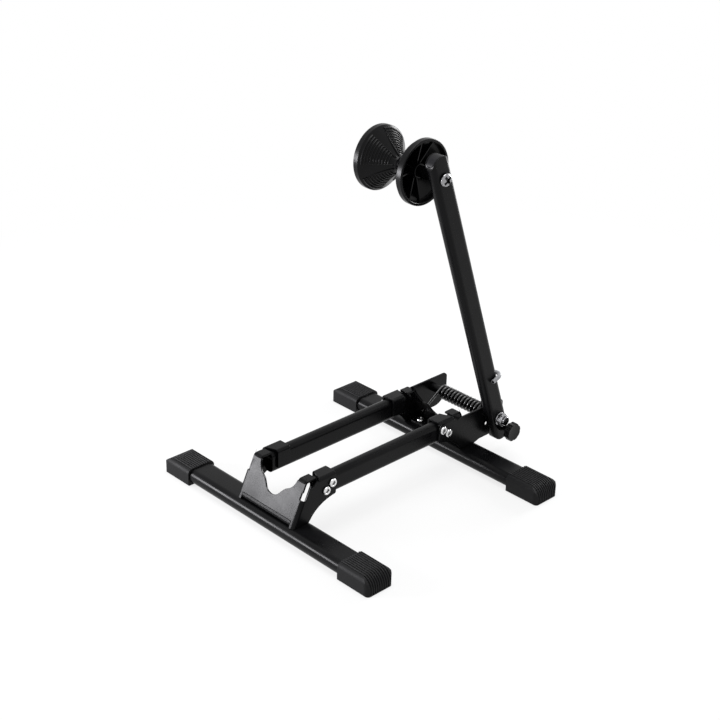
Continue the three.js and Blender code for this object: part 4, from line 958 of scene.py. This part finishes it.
def add_spring():
    spring = dress("torsion_spring", wire(spring_line(), WIRE_R, 16), PIVOT, "spring", None, smooth=50)
    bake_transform(spring)
    line = hook_line() + [beside_arm(HOOK_BACK, ARM_Y, HOOK_RISE)]
    bore = [line[0].lerp(line[1], -0.5), *line, line[-1].lerp(line[-2], -0.5)]
    sleeve = cut(wire(line, HOOK_SLEEVE_R, 28), wire(bore, HOOK_SLEEVE_BORE, 28))
    dress("hook_sleeve", sleeve, PIVOT, "sleeve", "arm")


# ---------------------------- arm

ARM_LOW = -ARM_TOE
ARM_HIGH = ARM_REACH + ARM_HEAD


def arm_outline():
    """The arm seen from its side, with round ends."""
    r = TUBE_W / 2
    return arc(0, ARM_HIGH, r, 0, pi, 40) + arc(0, ARM_LOW, r, pi, 2 * pi, 40)


def arm_plug(z0, z1):
    """A plug in the tube's end, flush with the end's round."""
    inset = 2 * (TUBE_WALL + GAP)
    core = prism(oval(TUBE_W - inset, TUBE_T - inset, TUBE_R - TUBE_WALL - GAP), z0, z1, along_z)
    core.transform(Matrix.Translation((0, ARM_Y, 0)))
    plug = boolean(core, "INTERSECT", prism(arm_outline(), ARM_OUT, ARM_IN, along_y))
    return soften(plug, PLUG_SOFT, 3)


def add_arm():
    inset = 2 * TUBE_WALL
    tube = pipe(oval(TUBE_W, TUBE_T, TUBE_R), oval(TUBE_W - inset, TUBE_T - inset, TUBE_R - TUBE_WALL),
                ARM_LOW - TUBE_W, ARM_HIGH + TUBE_W, along_z)
    tube.transform(Matrix.Translation((0, ARM_Y, 0)))
    tube = boolean(tube, "INTERSECT", prism(arm_outline(), ARM_OUT - 1, ARM_IN + 1, along_y))
    tube = cut(tube, bar(0, 0, BUSH_R + GAP, ARM_OUT - 1, ARM_IN + 1),
               bar(0, -LOCK_DROP, LOCK_BUSH_R + GAP, ARM_OUT - 1, ARM_IN + 1),
               bar(0, ARM_REACH, AXLE_R + GAP, ARM_OUT - 1, ARM_IN + 1))
    dress("arm_tube", soften(tube, ARM_SOFT, 2), ARM, "paint", "arm")
    top_plug = arm_plug(ARM_REACH + AXLE_R + 4, ARM_HIGH + TUBE_W)
    dress("arm_top_plug", top_plug, ARM, "plug", "arm")
    bottom_plug = arm_plug(ARM_LOW - TUBE_W, -LOCK_DROP - LOCK_BUSH_R - 1)
    dress("arm_bottom_plug", bottom_plug, ARM, "plug", "arm")
    bush = ring(BUSH_R, PIVOT_R + GAP, ARM_OUT, ARM_IN)
    dress("arm_pivot_bush", bush, ARM, "chrome", "arm")


# ---------------------------- pull pin

BUSH_END = ARM_OUT - LOCK_BUSH_OUT
SPRING_SEAT = BUSH_END + LOCK_END_WALL
COLLAR_Y = ARM_IN - LOCK_COLLAR_IN
KNOB_Y = BUSH_END - GAP
LOCK = ARM @ Matrix.Translation((0, 0, -LOCK_DROP))


def lock_knob():
    """A lobed knob with a shallow dish in its face and a neck towards the arm."""
    steps = KNOB_LOBES * 12
    turns = [2 * pi * i / steps for i in range(steps)]
    radii = [KNOB_R - KNOB_LOBE * (0.5 - 0.5 * cos(KNOB_LOBES * a)) for a in turns]
    lobed = [(r * cos(a), r * sin(a)) for a, r in zip(turns, radii)]
    back = KNOB_Y - KNOB_NECK_H
    face = back - KNOB_H
    wide = KNOB_R + 0.1
    rim = [(wide - KNOB_RIM_R + x, face + KNOB_RIM_R - y) for x, y in arc(0, 0, KNOB_RIM_R, pi / 2, 0, 8)]
    profile = [(0, face + 0.5), (KNOB_R - 4, face + 0.35), *rim, (wide, face + KNOB_RIM),
               (KNOB_NECK_R + 1, back - 0.4), (KNOB_NECK_R, back + 0.6), (KNOB_NECK_R, KNOB_Y), (0, KNOB_Y)]
    body = boolean(prism(lobed, face - 1, KNOB_Y + 1, along_y), "INTERSECT", turned(profile, 96))
    return cut(body, bar(0, 0, LOCK_R + GAP, KNOB_Y - KNOB_BORE, KNOB_Y + 1))


def lock_bush():
    bush = cut(bar(0, 0, LOCK_BUSH_R, BUSH_END, ARM_IN),
               bar(0, 0, LOCK_R + GAP, BUSH_END - 1, ARM_IN + 1),
               bar(0, 0, LOCK_SPRING_R + LOCK_WIRE_R + GAP, SPRING_SEAT, ARM_IN + 1))
    return soften(bush, ARM_SOFT, 2)


def lock_pin():
    """Runs from the knob's bore to the near pivot plate, with a collar for the spring."""
    start, shoulder, tip = KNOB_Y - KNOB_BORE + GAP, COLLAR_Y - LOCK_COLLAR_H, -CHEEK_OUT - GAP
    return turned([(0, start), (LOCK_R, start), (LOCK_R, shoulder), (LOCK_COLLAR_R, shoulder),
                   (LOCK_COLLAR_R, COLLAR_Y), (LOCK_R, COLLAR_Y), (LOCK_R, tip - 0.6), (LOCK_R - 0.6, tip),
                   (0, tip)])


def add_lock():
    dress("lock_bush", lock_bush(), LOCK, "paint", "arm")
    dress("lock_pin", lock_pin(), LOCK, "chrome", "lock")
    y0 = SPRING_SEAT + LOCK_WIRE_R + GAP
    y1 = COLLAR_Y - LOCK_COLLAR_H - LOCK_WIRE_R - GAP
    steps = LOCK_SPRING_TURNS * LOCK_SPRING_STEPS
    turns = [(2 * pi * i / LOCK_SPRING_STEPS, y0 + (y1 - y0) * i / steps) for i in range(steps + 1)]
    line = [(LOCK_SPRING_R * cos(a), y, LOCK_SPRING_R * sin(a)) for a, y in turns]
    coil = dress("lock_spring", wire(line, LOCK_WIRE_R, 10), LOCK, "chrome", "arm", smooth=50)
    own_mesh(coil)
    dress("lock_knob", lock_knob(), LOCK, "plastic", "lock")


# ---------------------------- roller
# Each half is drawn with its waist at y = 0 and its rim at +Y.

CONE_FOOT = Vector((WAIST_R + CONE_IN[0], CONE_IN[1]))
CONE_TOP = Vector((ROLLER_R - CONE_OUT[0], ROLLER_HALF - RIM_T - CONE_OUT[1]))


def on_cone(t, h):
    """(radius, y) on the cone's outer face, t from waist to rim, h above the face."""
    way = CONE_TOP - CONE_FOOT
    out = Vector((way.y, -way.x)).normalized()
    hollow = CONE_HOLLOW * (1 - (2 * t - 1) ** 2)
    return tuple(CONE_FOOT + way * t + out * (h - hollow))


def roller_shell():
    """Cone, rim and hub of one half: a dish that opens at the rim's side."""
    rim, rim_in = ROLLER_HALF - RIM_T, ROLLER_R - RIM_WALL
    bore = AXLE_R + GAP
    flank = [on_cone(k / 12, 0) for k in range(13)]
    wall = [on_cone(k / 10, -CONE_WALL) for k in range(9, 0, -1)]
    edge = [(ROLLER_R - RIM_ROUND_R + x, ROLLER_HALF - RIM_ROUND_R + y)
            for x, y in arc(0, 0, RIM_ROUND_R, 0, pi / 2, 6)]
    foot = on_cone(0.06, -CONE_WALL)[1] + 4
    outside = [(bore, GAP / 2), (WAIST_R, GAP / 2), *flank, (ROLLER_R - 0.5, rim), (ROLLER_R, rim + 0.6),
               *edge]
    inside = [(rim_in + 0.6, ROLLER_HALF), (rim_in, ROLLER_HALF - 0.6), (rim_in, wall[0][1] + 0.5), *wall,
              (HUB_R, foot), (HUB_R, HUB_TOP - 0.5), (HUB_R - 0.5, HUB_TOP), (bore, HUB_TOP)]
    return turned(outside + inside, 120, closed=True)


def web():
    """A moulded web inside the dish, in the (radius, y) plane."""
    foot = on_cone(0.12, -CONE_WALL / 2)
    wall = [on_cone(t, -CONE_WALL / 2) for t in (0.3, 0.5, 0.7, 0.95)]
    edge = ROLLER_R - RIM_WALL / 2
    outline = [(HUB_R - 1, foot[1] + 4), (foot[0] + 2, foot[1] + 2), *wall, (edge, wall[-1][1]),
               (edge, ROLLER_HALF - WEB_DEPTH), (HUB_R - 1, HUB_TOP - WEB_DEPTH)]
    return prism(outline, -WEB_T / 2, WEB_T / 2, along_z)


def spoke():
    """A raised radial line on the flank."""
    ts = [SPOKE_SHARE * k / 12 for k in range(13)]
    tops = [SPOKE_H * sqrt(max(1 - t / SPOKE_SHARE, 0.02)) for t in ts]
    outline = [on_cone(t, h) for t, h in zip(ts, tops)] + [on_cone(t, -1) for t in reversed(ts)]
    return soften(prism(outline, -SPOKE_W / 2, SPOKE_W / 2, along_z), SPOKE_SOFT, 3)


def stepped_sector():
    """Stepped rings over one sector of the flank."""
    low, high = STEPPED
    pitch = (high - low) / STEPS
    profile = [on_cone(low, -0.6)]
    for k in range(STEPS):
        profile += [on_cone(low + pitch * (k + run), STEP_FOOT + STEP_H * rise) for run, rise in STEP_FORM]
    profile += [on_cone(high, STEP_FOOT), on_cone(high, -0.6), on_cone((low + high) / 2, -1.6)]
    n, steps = len(profile), 20
    verts = []
    for j in range(steps + 1):
        a = SECTOR * j / steps
        verts += [(r * cos(a), y, -r * sin(a)) for r, y in profile]
    faces = [tuple(range(n)), tuple(range(steps * n, (steps + 1) * n))]
    for j in range(steps):
        faces += [(j * n + k, j * n + (k + 1) % n, (j + 1) * n + (k + 1) % n, (j + 1) * n + k)
                  for k in range(n)]
    return solid(verts, faces)


def roller_half():
    parts = [soften(roller_shell(), DISH_SOFT, angle=60)]
    sector, line, blade = stepped_sector(), spoke(), web()
    for i in range(SECTORS):
        start = 2 * pi * i / SECTORS
        parts.append(moved(sector, Matrix.Rotation(start, 4, "Y")))
        for angle in (start, start + SECTOR):
            turn = Matrix.Rotation(angle, 4, "Y")
            parts += [moved(line, turn), moved(blade, turn)]
    return together(*parts)


def add_roller():
    half = roller_half()
    dress("roller_far", half, ROLLER, "plastic", "roller")
    dress("roller_near", half, ROLLER @ HALF_TURN, "plastic", "roller")
    length = -ARM_OUT + GAP + HUB_TOP + GAP + AXLE_NUT_H + 1
    recess = cross_recess(CROSS_R, AXLE_HEAD_H)
    bolt = button_head(AXLE_HEAD_R, AXLE_HEAD_H, AXLE_R, length, AXLE_FLAT, recess)
    spin = Matrix.Rotation(radians(AXLE_TURN), 4, "Y")
    at = AXLE @ Matrix.Translation((0, ARM_OUT - GAP, 0)) @ HALF_TURN @ spin
    dress("roller_axle", soften(bolt, NUT_SOFT), at, "chrome", "arm")
    spacer = ring(AXLE_SPACER_R, AXLE_R + GAP, ARM_IN + GAP, -HUB_TOP - GAP)
    dress("roller_spacer", spacer, AXLE, "plastic", "arm")
    nut = cut(hexagon(AXLE_NUT_AF, HUB_TOP + GAP, HUB_TOP + GAP + AXLE_NUT_H),
              bar(0, 0, AXLE_R + GAP, HUB_TOP - 1, HUB_TOP + 20))
    dress("roller_nut", nut, AXLE, "chrome", "arm")


# ---------------------------- floor and light


FILL = 0.4  # the world's light on the object
FLOOR_HALF = 6  # metres
FLOOR_COLOUR = (0.9, 0.9, 0.9, 1)
FLOOR_SHADOW = 0.22  # share of the floor's seen colour that its light and shadow make
SHADOW_FADE = 0.45, 1.1  # metres from the middle over which that share falls to none
WHITE = (1, 1, 1)
LAMPS = (  # name, place, aim, width, height in metres, watts, colour
    ("left_box", (-1.36, 1.1, 0.37), (-0.18, 0, 0.06), 0.7, 0.5, 38, (0.97, 0.965, 1.0)),
    ("right_box", (1.55, -0.1, 0.55), (0.05, 0, 0.3), 0.5, 0.9, 22, WHITE),
    ("top_box", (0, 0.1, 2.3), (0, 0, 0), 1.4, 1.4, 30, WHITE),
)


def white_where_seen(tree, seen, otherwise):
    """Mixes two shaders: the first for camera, glossy and transmission rays, the second for light."""
    link = tree.links.new
    path = add_node(tree, "LightPath")
    total = path.outputs["Is Camera Ray"]
    for ray in ("Is Glossy Ray", "Is Transmission Ray"):
        add = add_node(tree, "Math")
        add.operation = "MAXIMUM"
        link(total, add.inputs[0])
        link(path.outputs[ray], add.inputs[1])
        total = add.outputs[0]
    mix = add_node(tree, "MixShader")
    link(total, mix.inputs[0])
    link(otherwise, mix.inputs[1])
    link(seen, mix.inputs[2])
    return mix.outputs[0]


def add_world():
    world = bpy.data.worlds.new("studio")
    bpy.context.scene.world = world
    world.use_nodes = True
    tree = world.node_tree
    tree.nodes.clear()
    shades = [add_node(tree, "Background", Color=(*WHITE, 1), Strength=strength).outputs[0]
              for strength in (1.0, FILL)]
    out = add_node(tree, "OutputWorld")
    tree.links.new(white_where_seen(tree, *shades), out.inputs["Surface"])


def floor_material():
    """Seen as white with the object's soft shadow, which fades out before the floor's edge."""
    material = bpy.data.materials.new("pale_floor")
    material.use_nodes = True
    tree = material.node_tree
    link = tree.links.new
    tree.nodes.clear()
    matt = add_node(tree, "BsdfDiffuse", Color=FLOOR_COLOUR)
    white = add_node(tree, "Emission", Strength=1.0)
    reach = add_node(tree, "VectorMath")
    reach.operation = "LENGTH"
    link(add_node(tree, "TexCoord").outputs["Object"], reach.inputs[0])
    near, far = SHADOW_FADE
    fade = add_node(tree, "MapRange", From_Min=near, From_Max=far, To_Min=FLOOR_SHADOW, To_Max=0)
    link(reach.outputs["Value"], fade.inputs["Value"])
    seen = add_node(tree, "MixShader")
    link(fade.outputs["Result"], seen.inputs[0])
    link(white.outputs[0], seen.inputs[1])
    link(matt.outputs[0], seen.inputs[2])
    out = add_node(tree, "OutputMaterial")
    link(white_where_seen(tree, seen.outputs[0], matt.outputs[0]), out.inputs["Surface"])
    return material


def add_floor():
    corners = [(x * FLOOR_HALF, y * FLOOR_HALF, 0) for x, y in ((-1, -1), (1, -1), (1, 1), (-1, 1))]
    mesh = bpy.data.meshes.new("floor")
    mesh.from_pydata(corners, [], [(0, 1, 2, 3)])
    mesh.materials.append(floor_material())
    floor = add_object("floor", mesh)


def add_softbox(name, place, aim, width, height, power, colour):
    data = bpy.data.lights.new(name, "AREA")
    data.shape = "RECTANGLE"
    data.size, data.size_y = width, height
    data.energy = power
    data.color = colour
    lamp = add_object(name, data)
    lamp.location = place
    lamp.rotation_mode = "QUATERNION"
    lamp.rotation_quaternion = (Vector(aim) - Vector(place)).to_track_quat("-Z", "Y")
    lamp.visible_camera = False


def add_light():
    for lamp in LAMPS:
        add_softbox(*lamp)
    bpy.context.scene.view_settings.view_transform = "Standard"


# ---------------------------- assembly

add_camera()
add_world()
add_floor()
add_light()
add_feet()
add_rails()
add_brackets()
add_bolts()
add_pivot()
add_spring()
add_arm()
add_lock()
add_roller()
